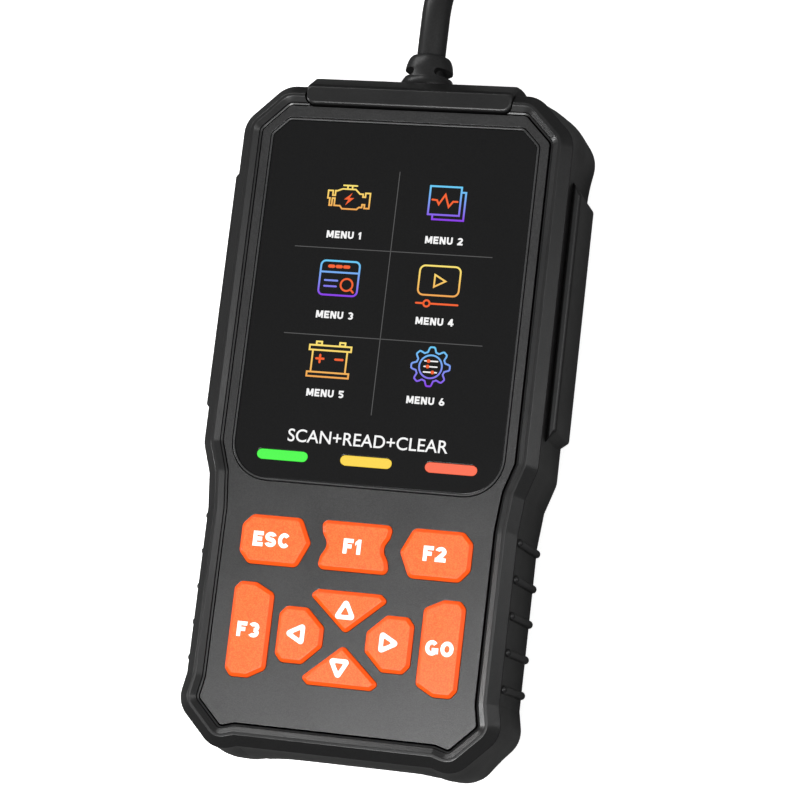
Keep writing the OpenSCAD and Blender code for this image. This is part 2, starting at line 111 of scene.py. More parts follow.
def neighbours(points, i):
    a, p, b = points[i - 1], points[i], points[(i + 1) % len(points)]
    return Vector(a[:2]), Vector(p[:2]), Vector(b[:2])


def grown(points, d):
    """The outline moved outwards by d, its corner radii with it."""
    out = []
    for i, point in enumerate(points):
        a, p, b = neighbours(points, i)
        u, v = (p - a).normalized(), (b - p).normalized()
        s, t = Vector((u.y, -u.x)), Vector((v.y, -v.x))
        q = p + (s + t) * d / (1 + s.dot(t))
        bend = 1 if u.x * v.y - u.y * v.x > 0 else -1
        out.append((q.x, q.y, max(0.25, point[2] + bend * d)))
    return out


def corner(points, i, steps):
    """Points round corner i of an outline."""
    a, p, b = neighbours(points, i)
    u, v = (a - p).normalized(), (b - p).normalized()
    half = acos(max(-1, min(1, u.dot(v)))) / 2
    r = points[i][2]
    mid = p + (u + v).normalized() * r / sin(half)
    start = p + u * r / tan(half) - mid
    turn = (pi - 2 * half) * (1 if u.x * v.y - u.y * v.x < 0 else -1)
    return [mid + Matrix.Rotation(turn * k / steps, 2) @ start for k in range(steps + 1)]


def rounded(points, steps=8):
    return [q for i in range(len(points)) for q in corner(points, i, steps)]


def arcs_and_next(points, steps):
    """Each corner's arc with the arc after it."""
    arcs = [corner(points, i, steps) for i in range(len(points))]
    return list(zip(arcs, arcs[1:] + arcs[:1]))


def dense(points, steps, runs):
    """A rounded outline whose straight run after corner i has runs[i] pieces."""
    out = []
    for (arc, ahead), run in zip(arcs_and_next(points, steps), runs):
        out += arc + [arc[-1].lerp(ahead[0], k / run) for k in range(1, run)]
    return out


def profile(points, steps=4):
    """A polyline of (offset, height, radius) with its corners rounded, as (offset, height) pairs."""
    out = [Vector(points[0][:2])]
    for i in range(1, len(points) - 1):
        if points[i][2] > 0:
            out += corner(points[i - 1:i + 2], 1, steps)
        else:
            out.append(Vector(points[i][:2]))
    return out + [Vector(points[-1][:2])]


def circle(x, y, r, sides=32):
    turn = 2 * pi / sides
    return [Vector((x + r * cos(turn * k), y + r * sin(turn * k))) for k in range(sides)]


def pill(x, y, length, width, steps=10):
    r, run, out = width / 2, (length - width) / 2, []
    for side, start in ((1, -0.5), (-1, 0.5)):
        for k in range(steps + 1):
            a = pi * (k / steps + start)
            out.append(Vector((x + side * run + r * cos(a), y + r * sin(a))))
    return out


def bar(x0, y0, x1, y1):
    return [(x0, y0), (x1, y0), (x1, y1), (x0, y1)]


def smoothstep(x, a, b):
    t = max(0, min(1, (x - a) / (b - a)))
    return t * t * (3 - 2 * t)


def rim_of(points, d, steps=8):
    """The rounded outline, moved outwards by d."""
    return rounded(grown(points, d), steps)


# ---- meshes

def at(ring, z):
    return [(q[0], q[1], z) for q in ring]


def stood(ring, y):
    """A ring of (x, z) points, stood up at one y."""
    return [(q[0], y, q[1]) for q in ring]


def loft(rings, closed=False):
    """Vertices and faces of a skin through rings of equal length."""
    n, m = len(rings[0]), len(rings)
    verts = [q for ring in rings for q in ring]
    faces = []
    for k in range(m if closed else m - 1):
        up = (k + 1) % m
        for i in range(n):
            j = (i + 1) % n
            faces.append((k * n + i, k * n + j, up * n + j, up * n + i))
    if not closed:
        faces.append(tuple(range(n - 1, -1, -1)))
        faces.append(tuple((m - 1) * n + i for i in range(n)))
    return verts, faces


def tube(rings):
    """A skin without its two end faces."""
    verts, faces = loft(rings)
    return verts, faces[:-2]


def prism(ring, z_low, z_high):
    return loft([at(ring, z_low), at(ring, z_high)])


def stack(outline, levels):
    """Rings at (offset, z) levels, where outline(d) gives the loop offset by d."""
    return [at(outline(d), z) for d, z in levels]


def wall(outline, outside, inside, z_low, z_high):
    """A square-edged wall between two offsets of an outline."""
    levels = [(outside, z_low), (outside, z_high), (inside, z_high), (inside, z_low)]
    return loft(stack(outline, levels), closed=True)


def joined(parts):
    verts, faces = [], []
    for v, f in parts:
        base = len(verts)
        verts += v
        faces += [tuple(base + i for i in face) for face in f]
    return verts, faces


def put(name, data):
    """A new object in the scene."""
    obj = bpy.data.objects.new(name, data)
    scene.collection.objects.link(obj)
    return obj


def new_mesh(name, shape):
    """A mesh in metres from vertices in mm and faces, welded and facing outwards."""
    verts, faces = shape
    mesh = bpy.data.meshes.new(name)
    mesh.from_pydata([Vector(v) * MM for v in verts], [], faces)
    bm = bmesh.new()
    bm.from_mesh(mesh)
    bmesh.ops.remove_doubles(bm, verts=bm.verts, dist=WELD)
    bmesh.ops.recalc_face_normals(bm, faces=bm.faces)
    bm.to_mesh(mesh)
    bm.free()
    return mesh


def shade(mesh, angle):
    mesh.shade_smooth()
    mesh.set_sharp_from_angle(angle=radians(angle))


def add_mesh(name, shape, slot, angle=40, body=BODY, material=None):
    """A piece whose edges turn sharp at angle. Its material is the slot's own, unless another is named."""
    mesh = new_mesh(name, shape)
    shade(mesh, angle)
    mesh.materials.append(MAT[material or slot])
    obj = put(name, mesh)
    flat = obj.modifiers.new("weighted_normal", "WEIGHTED_NORMAL")
    flat.keep_sharp = True
    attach(obj, body)
    return obj


def cut_away(obj, shape):
    """Cuts a shape out of a piece for good."""
    tool = put("cutting_tool", new_mesh("cutting_tool", shape))
    cut = obj.modifiers.new("cut", "BOOLEAN")
    cut.operation = "DIFFERENCE"
    cut.solver = "EXACT"
    cut.object = tool
    obj.modifiers.move(len(obj.modifiers) - 1, 0)
    weighted = obj.modifiers["weighted_normal"]
    weighted.show_viewport = False
    bpy.context.view_layer.update()
    made = bpy.data.meshes.new_from_object(obj.evaluated_get(bpy.context.evaluated_depsgraph_get()))
    obj.modifiers.remove(cut)
    weighted.show_viewport = True
    whole = obj.data
    obj.data = made
    bpy.data.meshes.remove(whole)
    bpy.data.objects.remove(tool)
    shade(made, 40)


def filled(loops, z, upward):
    """Triangles that fill the first loop but for the other loops inside it."""
    bm = bmesh.new()
    for loop in loops:
        verts = [bm.verts.new((q[0], q[1], z)) for q in loop]
        for i in range(len(verts)):
            bm.edges.new((verts[i - 1], verts[i]))
    bmesh.ops.triangle_fill(bm, use_beauty=True, edges=bm.edges, normal=(0, 0, 1 if upward else -1))
    bm.verts.index_update()
    shape = [tuple(v.co) for v in bm.verts], [tuple(v.index for v in f.verts) for f in bm.faces]
    bm.free()
    return shape


def round_over(r, z_low, z_high, steps):
    """(inset, z) levels of an edge rounded over at both ends, from the top down."""
    turns = [pi / 2 * k / steps for k in range(steps + 1)]
    curve = [(r * (1 - sin(a)), r * (1 - cos(a))) for a in turns]
    return [(d, z_high - drop) for d, drop in curve] + [(d, z_low + drop) for d, drop in reversed(curve)]


def panel(edge, holes, z_low, z_high, bevel):
    """A plate with through holes and softened edges. edge(d) and each hole(d) give loops offset by d."""
    levels = round_over(bevel, z_low, z_high, 3)
    loops = [edge(-bevel)] + [hole(bevel) for hole in holes]
    parts = [filled(loops, z_high, True), filled(loops, z_low, False)]
    parts.append(tube(stack(edge, [(-d, z) for d, z in levels])))
    parts += [tube(stack(hole, levels)) for hole in holes]
    return joined(parts)


def lathe(points, axis_z, sides=48, axis_x=0, closed=False):
    """A body turned about a line along Y: points are (radius, y). A closed one has a bore."""
    return loft([stood(circle(axis_x, axis_z, r, sides), y) for r, y in points], closed)


def capsule(x, y, z_low, z_high, r):
    """A round-ended bar along Z."""
    levels = round_over(r, z_low, z_high, 6)
    return loft([at(circle(x, y, max(0.02, r - d), 24), z) for d, z in levels])


# ---- materials

MAT = {}
MIX_A, MIX_B, MIX_RESULT = 6, 7, 2   # where a Mix node keeps its colour sockets


def link(source, socket):
    socket.id_data.links.new(source, socket)


def new_material(name):
    """Puts a material in MAT and returns its node tree and shader."""
    MAT[name] = bpy.data.materials.new(name)
    MAT[name].use_nodes = True
    tree = MAT[name].node_tree
    return tree, tree.nodes["Principled BSDF"]


def paint(node, values):
    """Gives a node's sockets their values: sources are wired, numbers and colours are set on the socket."""
    for key, value in values.items():
        if isinstance(value, bpy.types.NodeSocket):
            link(value, node.inputs[key])
        else:
            node.inputs[key].default_value = value


def made_node(tree, kind, values, **settings):
    node = tree.nodes.new("ShaderNode" + kind)
    for key, setting in settings.items():
        setattr(node, key, setting)
    paint(node, values)
    return node


def place_on(tree, kind="Object"):
    return tree.nodes.new("ShaderNodeTexCoord").outputs[kind]


def noise(tree, scale, detail=3, rough=0.6):
    values = {"Vector": place_on(tree), "Scale": scale, "Detail": detail, "Roughness": rough}
    return made_node(tree, "TexNoise", values).outputs["Fac"]


def span(value, low_in, high_in, low_out=0, high_out=1):
    ends = {"From Min": low_in, "From Max": high_in, "To Min": low_out, "To Max": high_out}
    return made_node(value.id_data, "MapRange", {"Value": value, **ends}).outputs["Result"]


def split(source, axis):
    return made_node(source.id_data, "SeparateXYZ", {"Vector": source}).outputs[axis]


def product(a, b):
    return made_node(a.id_data, "Math", {0: a, 1: b}, operation="MULTIPLY").outputs[0]


def mix(factor, a, b):
    """A blend of two colours, either of which may be a source."""
    a, b = [colour if isinstance(colour, bpy.types.NodeSocket) else (*colour, 1) for colour in (a, b)]
    values = {0: factor, MIX_A: a, MIX_B: b}
    return made_node(factor.id_data, "Mix", values, data_type="RGBA").outputs[MIX_RESULT]


def bump(shader, height, strength, distance=0.0001):
    values = {"Strength": strength, "Distance": distance, "Height": height}
    link(made_node(shader.id_data, "Bump", values).outputs["Normal"], shader.inputs["Normal"])


def uneven(tree, scale, detail, low_rough, high_rough):
    """A roughness that drifts over the surface."""
    return span(noise(tree, scale, detail), 0.3, 0.7, low_rough, high_rough)


def moulded(name, dark, light, rough, grain, depth, level=0.5, speckle=(0.35, 0.65)):
    """Moulded plastic or rubber: mottled colour, uneven roughness and a fine spark-eroded grain."""
    tree, shader = new_material(name)
    fine = noise(tree, grain, 4, 0.7)
    paint(shader, {
        "Base Color": mix(span(fine, *speckle), dark, light), "Roughness": uneven(tree, 60, 3, *rough),
        "Specular IOR Level": level,
    })
    bump(shader, fine, depth)


def orange_rubber(name):
    """Soft keys: lighter grained tops, and deeper orange on the slopes and sides, partly the rubber's own
    deeper tone and partly painted shade.
    """
    tree, shader = new_material(name)
    fine = noise(tree, 3100)
    top = mix(span(fine, 0.4, 0.6), (0.70, 0.093, 0.011), (0.92, 0.160, 0.028))
    # Slopes and sides turn deeper orange by how far they face away from up: partly the rubber's own tone,
    # partly painted shade.
    slope_tone_and_shade = span(split(tree.nodes.new("ShaderNodeNewGeometry").outputs["Normal"], "Z"), 0.9, 0.998)
    paint(shader, {
        "Base Color": mix(slope_tone_and_shade, (0.92, 0.088, 0.001), top),
        "Roughness": uneven(tree, 80, 2, 0.34, 0.42), "Specular IOR Level": 0.4,
        "Subsurface Weight": 0.08, "Subsurface Scale": 0.001,
    })
    bump(shader, fine, 0.3)


def smoked_lens(name):
    tree, shader = new_material(name)
    haze = noise(tree, 2600)
    paint(shader, {
        "Base Color": mix(span(haze, 0.35, 0.65), grey(0.0066), grey(0.0084)),
        "Roughness": uneven(tree, 45, 2, 0.22, 0.25), "Specular IOR Level": 0.12,
    })
    bump(shader, haze, 0.01)


def metal(name, colour, rough):
    tree, shader = new_material(name)
    grain = noise(tree, 1500, 2, 0.5)
    paint(shader, {
        "Base Color": mix(grain, [0.82 * c for c in colour], colour), "Metallic": 1.0,
        "Roughness": span(grain, 0.3, 0.7, rough, rough + 0.12),
    })
    bump(shader, grain, 0.08)


def lit(name, light_of, rough):
    """A mark that shines with the colour that light_of(tree) gives."""
    tree, shader = new_material(name)
    paint(shader, {
        "Emission Color": light_of(tree), "Emission Strength": 1.0, "Base Color": (0.01, 0.01, 0.01, 1),
        "Roughness": rough, "Specular IOR Level": 0.1,
    })


def glow(name, colour, speckle=0.06):
    """A lit mark of one colour, faintly uneven."""
    dim = [c * (1 - speckle) for c in colour]
    lit(name, lambda tree: mix(span(noise(tree, 2400, 3, 0.7), 0.35, 0.65), dim, colour), 0.6)


def glow_gradient(name, bottom, top):
    """A lit mark whose colour runs from its lower edge to its upper edge."""
    lit(name, lambda tree: mix(split(place_on(tree, "Generated"), "Y"), bottom, top), 0.5)


def print_white_painted_glow(name):
    # White print with a faint painted glow on top of its colour: the print itself is no lamp.
    tree, shader = new_material(name)
    grain = noise(tree, 3000, 3, 0.7)
    paint(shader, {
        "Base Color": mix(grain, (0.86, 0.86, 0.85), (0.93, 0.93, 0.92)), "Roughness": 0.55,
        "Emission Color": (1, 1, 1, 1), "Emission Strength": 0.12,
    })
    bump(shader, grain, 0.15)


def woven_strap(name):
    """Hook-and-loop strap: a dense crossing weave."""
    tree, shader = new_material(name)
    waves = []
    for direction in ("X", "Y"):
        values = {"Vector": place_on(tree), "Scale": 420, "Distortion": 0.6}
        waves.append(made_node(tree, "TexWave", values, bands_direction=direction).outputs["Fac"])
    weave = product(*waves)
    colour = mix(weave, grey(0.01), grey(0.045))
    paint(shader, {"Base Color": colour, "Roughness": 0.85, "Sheen Weight": 0.4})
    bump(shader, weave, 0.6, 0.0002)


def circuit_board(name):
    """Solder mask with faint copper runs under it."""
    tree, shader = new_material(name)
    runs = made_node(tree, "TexBrick", {
        "Vector": place_on(tree), "Scale": 260, "Color1": (0.012, 0.12, 0.05, 1),
        "Color2": (0.015, 0.15, 0.06, 1), "Mortar": (0.03, 0.24, 0.10, 1), "Mortar Size": 0.03,
    })
    paint(shader, {"Base Color": runs.outputs["Color"], "Roughness": 0.3})
    bump(shader, runs.outputs["Fac"], 0.15)


def glossy(name, dark, light, rough):
    tree, shader = new_material(name)
    grain = noise(tree, 500)
    paint(shader, {
        "Base Color": mix(grain, dark, light), "Roughness": span(grain, 0.3, 0.7, rough, rough + 0.08),
    })


def grey(v):
    return (v, v, v * 1.02)


YELLOW, AMBER = (1.0, 0.80, 0.17), (0.90, 0.38, 0.075)
CYAN, VIOLET = (0.13, 0.60, 0.93), (0.25, 0.025, 0.80)
ORANGE = (0.95, 0.115, 0.018)

moulded("bumper_rubber", grey(0.004), grey(0.009), (0.29, 0.36), 2600, 0.2, 0.46)
moulded("grey_casing", grey(0.002), grey(0.017), (0.31, 0.36), 3300, 0.45, 0.7, (0.4, 0.6))
moulded("black_casing", grey(0.012), grey(0.02), (0.38, 0.5), 2200, 0.35, 0.35)
moulded("lens_rim", grey(0.02), grey(0.03), (0.36, 0.44), 1500, 0.1, 0.4)
moulded("lead_rubber", grey(0.008), grey(0.013), (0.32, 0.4), 1800, 0.15, 0.3)
moulded("mat_rubber", grey(0.05), grey(0.06), (0.5, 0.6), 1200, 0.2)
moulded("chip_black", grey(0.02), grey(0.03), (0.5, 0.6), 2400, 0.3)
moulded("header_ivory", (0.62, 0.56, 0.42), (0.7, 0.65, 0.5), (0.4, 0.5), 1500, 0.1)
moulded("insert_black", grey(0.035), grey(0.05), (0.42, 0.52), 2000, 0.3)
orange_rubber("key_orange")
smoked_lens("screen_lens")
metal("screw_steel", (0.62, 0.62, 0.64), 0.28)
metal("pin_metal", (0.83, 0.62, 0.28), 0.22)
metal("switch_steel", (0.66, 0.66, 0.68), 0.3)
glow("lamp_green", (0.075, 0.98, 0.075))
glow("lamp_yellow", (1.0, 0.70, 0.075))
glow("lamp_red", (1.0, 0.165, 0.085))
glow_gradient("icon_warm", AMBER, YELLOW)
glow_gradient("icon_cool", VIOLET, CYAN)
glow("icon_orange", ORANGE)
glow("screen_white", (0.95, 0.95, 0.95), 0.02)
glow("screen_grid", (0.085, 0.085, 0.085), 0.15)
print_white_painted_glow("print_white_painted_glow")
woven_strap("tie_fabric")
circuit_board("board_green")
glossy("display", (0.02, 0.02, 0.025), (0.03, 0.03, 0.04), 0.12)
glossy("flex_film", (0.30, 0.11, 0.02), (0.42, 0.17, 0.03), 0.2)
glossy("led_body", (0.7, 0.7, 0.62), (0.8, 0.8, 0.74), 0.25)
glossy("wire_red", (0.40, 0.03, 0.02), (0.52, 0.05, 0.03), 0.35)


# ---- camera

def add_camera():
    """The camera leans about its own axis, so the reader leans to the right in the picture."""
    data = bpy.data.cameras.new("camera")
    data.lens = 114.75
    data.clip_start, data.clip_end = 0.01, 20
    eye, target = Vector((0.1796, -0.1014, 0.6788)), Vector((0.0074, 0.0036, 0.035))
    lean = radians(6.7)
    back = (eye - target).normalized()
    side = Vector((0, 1, 0)).cross(back).normalized()
    axes = Matrix((side, back.cross(side), back)).transposed()
    camera = put("camera", data)
    camera.matrix_world = Matrix.Translation(eye) @ (axes @ Matrix.Rotation(lean, 3, "Z")).to_4x4()
    scene.camera = camera


add_camera()


# ---- lead

# Route from inside the strain relief down to the table, then the coil and the tail to the plug
LEAD_ROUTE = [
    (0, 94, 17), (0, 98, 17), (0, 104, 17), (0, 112, 17), (0, 118, 16.6), (0.4, 124, 15.3),
    (1.4, 130, 13), (3.1, 136, 10), (5.5, 142, 7.2), (8.5, 148, 5.3), (10.9, 154, 4.3),
    (12.6, 160, 4.1), (13.6, 166, 4.1), (14, 172, 4.1),
]
COIL_MID = (-30.4, 178)
COIL_IN, COIL_OUT = 36, 44.4
COIL_LOW, COIL_HIGH = 4.1, 12.5
TURN_STEPS = 48
PLUG_X = COIL_MID[0] + COIL_OUT
TAIL_ROUTE = [(PLUG_X, COIL_MID[1] + 8 * k, COIL_HIGH) for k in range(1, 5)]


def coil_points():
    """Three turns: outside below, inside below, inside above, and out again above."""
    out = []
    for k in range(3 * TURN_STEPS + 1):
        a = 360 * k / TURN_STEPS
        outside = 1 - smoothstep(a, 235, 320) + smoothstep(a, 905, 990)
        above = smoothstep(a, 568, 653)
        r = COIL_IN + (COIL_OUT - COIL_IN) * outside
        z = COIL_LOW + (COIL_HIGH - COIL_LOW) * above
        turn = radians(a)
        out.append((COIL_MID[0] + r * cos(turn), COIL_MID[1] + r * sin(turn), z))
    return out


def smooth_path(points, steps=4):
    """A curve through the points, Catmull-Rom."""
    pts = [Vector(p) for p in points]
    out = []
    for i in range(len(pts) - 1):
        p0, p1, p2, p3 = pts[max(i - 1, 0)], pts[i], pts[i + 1], pts[min(i + 2, len(pts) - 1)]
        for k in range(steps):
            t = k / steps
            out.append(0.5 * (2 * p1 + (p2 - p0) * t + (2 * p0 - 5 * p1 + 4 * p2 - p3) * t * t
                              + (3 * p1 - p0 - 3 * p2 + p3) * t ** 3))
    return out + [pts[-1]]


def add_cord(name, points, diameter):
    curve = bpy.data.curves.new(name, "CURVE")
    curve.dimensions = "3D"
    curve.bevel_depth = diameter / 2 * MM
    curve.bevel_resolution = 7
    curve.use_fill_caps = True
    spline = curve.splines.new("POLY")
    spline.points.add(len(points) - 1)
    for point, p in zip(spline.points, points):
        point.co = (*(Vector(p) * MM), 1)
    spline.use_smooth = True
    curve.materials.append(MAT["lead_rubber"])
    obj = put(name, curve)
    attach(obj, BODY)
    return obj


lead_points = smooth_path(LEAD_ROUTE) + coil_points() + TAIL_ROUTE
lead = add_cord("lead", lead_points, LEAD_D)
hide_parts("lead_out", "lead_coil", "lead_tail")


def add_strain_relief():
    """The slotted collar where the lead leaves the end cap, and the core seen through its slots."""
    bore, core_bore, core_r = LEAD_R + 0.06, LEAD_R + 0.08, 4.4
    stations = [
        (bore, 78), (7, 78), (7, 80.4), (5.1, 80.6), (5.1, 83.6), (7.1, 83.8), (7.1, 93.6), (7.5, 93.7),
        (7.62, 94.4), (7.5, 95.3), (7.1, 96.1), (6.75, 96.5), (6.68, 98.9), (6.62, 99.4), (6.5, 100.3),
        (6.2, 101.5), (5.8, 102.4), (5.4, 102.85), (5.0, RELIEF_END), (bore, RELIEF_END),
    ]
    collar = add_mesh("relief_collar", lathe(stations, LEAD_Z, 64, closed=True), "lead_rubber", 50)
    right = [(9.5, 96.7, 0.2), (9.5, 99, 0.2), (2.9, 99, 1.1), (2.9, 96.7, 1.1)]
    cut_away(collar, joined([prism(rounded(slot), 2, 32) for slot in (right, mirrored(right))]))
    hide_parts("strain_relief")
    core = [(core_bore, 95.5), (core_r, 95.5), (core_r, 100), (core_bore, 100)]
    return [collar, add_mesh("relief_core", lathe(core, LEAD_Z, closed=True), "lead_rubber")]


relief_pieces = add_strain_relief()


# ---- plug

def about_plug(outline, stations):
    """A skin through (offset, y) stations of an outline about the plug's axis."""
    rings = []
    for d, y in stations:
        rings.append([(PLUG_X + q.x, y, PLUG_Z + q.y) for q in rim_of(outline, d)])
    return loft(rings)


def add_plug_housing():
    """The grip, its finger grooves and the D-shaped shroud."""
    y0, y1 = low("plug_shell").y, high("plug_shell").y
    shroud_y, groove_pitch = y1 - 15, 3
    half_w = high("plug_shell").x - PLUG_X
    grip = both([(half_w, -PLUG_Z, 5), (half_w, PLUG_Z, 5)])
    nose = [(-6.5, 0), (-5, 0.2), (-3.4, 1), (-1.6, 2.6), (-0.5, 4.4), (0, 6.5), (0, 8)]
    stations = [(d, y0 + y) for d, y in nose]
    groove = [(0, 0.4), (-0.25, 0.8), (-0.6, 1.1), (-0.6, 1.7), (-0.25, 2), (0, 2.4)]
    for k in range(7):
        stations += [(d, y0 + 8 + groove_pitch * k + y) for d, y in groove]
    lip = [
        (0, -5.6), (-0.15, -5.3), (-0.5, -5.1), (-0.5, -4.7), (-0.15, -4.5), (0, -4.2), (0, -0.9),
        (-0.2, -0.4), (-0.8, 0), (-2.6, 0),
    ]
    stations += [(d, shroud_y + y) for d, y in lip]
    shroud = both([(19.5, -9.8, 2.4), (19.5, -0.5, 1.2), (16.5, 9.8, 2.4)])
    walls = [
        (0.4, shroud_y - 0.5), (0, shroud_y + 0.3), (0, y1 - 0.5), (-0.15, y1 - 0.15), (-0.5, y1),
        (-1.1, y1), (-1.4, y1 - 0.15), (-1.5, y1 - 0.6), (-1.5, shroud_y - 9.8), (-3, shroud_y - 10),
    ]
    shape = joined([about_plug(grip, stations), about_plug(shroud, walls)])
    housing = add_mesh("plug_housing", shape, "black_casing", 35)
    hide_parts("plug_shell")
    return housing


def add_plug_boot():
    """The sleeve where the lead enters the plug, with its bend-relief grooves."""
    y0, y1 = low("plug_boot").y, high("plug_boot").y
    stations = [(LEAD_R + 0.05, y0 + 0.8), (LEAD_R + 0.1, y0), (5.1, y0), (5.5, y0 + 0.3), (5.75, y0 + 0.9)]
    groove = [(0, 0), (-0.1, 0.35), (-1.0, 0.6), (-1.0, 1.3), (0, 1.55)]
    for k in range(4):
        stations += [(6.1 + 0.42 * k + d, y0 + 2.2 + 3.1 * k + y) for d, y in groove]
    stations += [(7.9, y1 - 2.6), (8.3, y1 - 1), (8.4, y1)]
    boot = add_mesh("plug_sleeve", lathe(stations, PLUG_Z, axis_x=PLUG_X), "lead_rubber")
    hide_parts("plug_boot")
    return boot


def dress(node, material):
    """A better finish on a CAD node that stays."""
    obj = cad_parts[node]
    obj.data.materials.clear()
    obj.data.materials.append(MAT[material])
    return obj


plug_pieces = [add_plug_housing(), add_plug_boot()]
plug_pieces += [dress("plug_insert", "insert_black"), dress("plug_pins", "pin_metal")]


def evenly(loop, n):
    """n points spaced evenly along a loop."""
    total = [0]
    for a, b in zip(loop, loop[1:] + loop[:1]):
        total.append(total[-1] + (b - a).length)
    out = []
    for k in range(n):
        want = total[-1] * k / n
        i = max(j for j in range(len(loop)) if total[j] <= want)
        out.append(loop[i].lerp(loop[(i + 1) % len(loop)], (want - total[i]) / (total[i + 1] - total[i])))
    return out


def add_tie():
    """A strap round the three runs of lead at the coil's far side, with its end lying over itself."""
    x_out, x_in = COIL_MID[0] - COIL_OUT, COIL_MID[0] - COIL_IN
    spots = [(x_out, COIL_LOW), (x_in, COIL_LOW), (x_in, COIL_HIGH)]
    half_w = (high("coil_tie").y - low("coil_tie").y) / 2
    cloud = [q for x, z in spots for q in circle(x, z, LEAD_R + 0.05, 48)]
    hull = [cloud[i] for i in convex_hull_2d(cloud)]
    mid = sum(hull, Vector((0, 0))) / len(hull)
    inner = evenly(hull, 96)

    def standing_off(points, d):
        return [mid + (q - mid) * (1 + d / (q - mid).length) for q in points]

    def between(half, *outlines):
        return [stood(outline, COIL_MID[1] + way * half) for outline, way in outlines]

    outer = [(q.x, max(0.02, q.y)) for q in standing_off(inner, 0.9)]
    loop = loft(between(half_w, (inner, -1), (outer, -1), (outer, 1), (inner, 1)), closed=True)
    arc = [q for q in inner if q.y > COIL_HIGH - 3]
    arc.sort(key=lambda q: atan2(q.y - mid.y, q.x - mid.x))
    flap_edge = standing_off(arc, 0.95) + standing_off(arc[::-1], 1.8)
    flap = loft(between(half_w - 0.3, (flap_edge, -1), (flap_edge, 1)))
    tie = add_mesh("tie_strap", joined([loop, flap]), "tie_fabric", 50)
    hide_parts("coil_tie")
    return tie


tie = add_tie()


# ---- bumper

CORNER_STEPS = 10
RUN_LENGTH = 1.6
SIDES = ((1, "right"), (-1, "left"))
FULL_FACE = both(FACE_HALF)

# How many pieces each straight run of the face's outline takes
RUNS = [max(1, round((b[0] - a[-1]).length / RUN_LENGTH)) for a, b in arcs_and_next(FULL_FACE, 2)]


def near(x, middle, width):
    return exp(-((x - middle) / width) ** 2)


def swell(x, y):
    """How far the bumper's wall stands out at mid depth, beyond its front edge."""
    foot = 1.3 * near(abs(x), 31.5, 7.5) * near(y, -91.5, 6)
    sole = 1.5 * smoothstep(-y, 88, 91) * (1 - smoothstep(abs(x), 24, 34))
    shoulder = 2.9 * exp(-((abs(x) - 43.5) ** 2 + (y - 84) ** 2) / 90)
    brow = 2.6 * smoothstep(y, 86, 88.4) * (1 - smoothstep(abs(x), 30.5, 34))
    return foot + sole + shoulder + brow


def bumper_ring(d, z, share):
    ring = dense(grown(FULL_FACE, d), CORNER_STEPS, RUNS)
    out = []
    for i, q in enumerate(ring):
        along = ring[(i + 1) % len(ring)] - ring[i - 1]
        normal = Vector((along.y, -along.x)).normalized()
        p = q + normal * share * swell(q.x, q.y)
        out.append((p.x, p.y, z))
    return out


def depth_share(d, z):
    """The swell grows from the front edge to mid depth and fades where the wall turns under."""
    if d < 3.5:
        return 0
    return (1 - smoothstep(z, 19, FACE_Z - 2.2)) * (0.45 + 0.55 * smoothstep(z, BUMPER_LOW, 7))


def add_bumper():
    edge = [
        (0.12, BUMPER_LOW + 0.4, 0), (0.12, FACE_Z - 0.5, 0.1), (0.6, FACE_Z - 0.35, 0.12),
        (0.78, FACE_Z + 0.08, 0.12), (2.2, RIDGE_Z - 0.02, 0.35), (3.0, RIDGE_Z, 0.35),
        (BUMPER_W, FACE_Z - 2, 0.6), *[(BUMPER_W, z, 0) for z in (29.5, 26, 22.5, 19, 13, 9)],
        (BUMPER_W, 5.6, 2.2), (3.2, BUMPER_LOW, 0.8), (0.5, BUMPER_LOW, 0),
    ]
    rings = [bumper_ring(d, z, depth_share(d, z)) for d, z in profile(edge)]
    skin = add_mesh("bumper_skin", loft(rings, closed=True), "bumper_rubber", 60)
    cap_gap = both([(CAP_HALF + 0.25, CAP_LOW_Y - 0.35, 2.6), (CAP_HALF + 0.25, CAP_BACK_Y + 4, 1)])
    cut_away(skin, prism(rounded(cap_gap), 7.8, RIDGE_Z + 2))
    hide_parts("bumper")


def add_rails():
    """A raised rail on each side of the screen half, its front edge rounded over."""
    root_x = 44.2
    outline = [(root_x, -4, 0.4), (RAIL_X, -0.5, 1.2), (RAIL_X, 64, 1.2), (root_x, 67.5, 0.4)]
    levels = [
        (-1.2, 7.2, root_x), (-0.5, 7.5, root_x), (-0.12, 8, root_x), (0, 8.7, root_x), (0, 27.2, root_x),
        (-0.06, 27.6, 45.9), (-0.2, 27.95, 46.3), (-0.36, 28.2, 46.6), (-0.52, 28.4, 46.82),
        (-0.68, 28.52, 46.98), (-0.8, 28.55, 47.08),
    ]
    for side, name in SIDES:
        rings = []
        for d, z, inner_x in levels:
            rings.append([(side * max(q.x, inner_x), q.y, z) for q in rim_of(outline, d, 6)])
        add_mesh("bumper_rail_" + name, loft(rings), "bumper_rubber", 30)


def add_ribs():
    """Five grip ribs on each side of the keypad half."""
    pitch = 9.55
    for side, name in SIDES:
        ribs = [capsule(side * (36.8 + BUMPER_W), -31 - pitch * k, 5.5, 31.5, 1.12) for k in range(5)]
        add_mesh("bumper_ribs_" + name, joined(ribs), "bumper_rubber", 60)


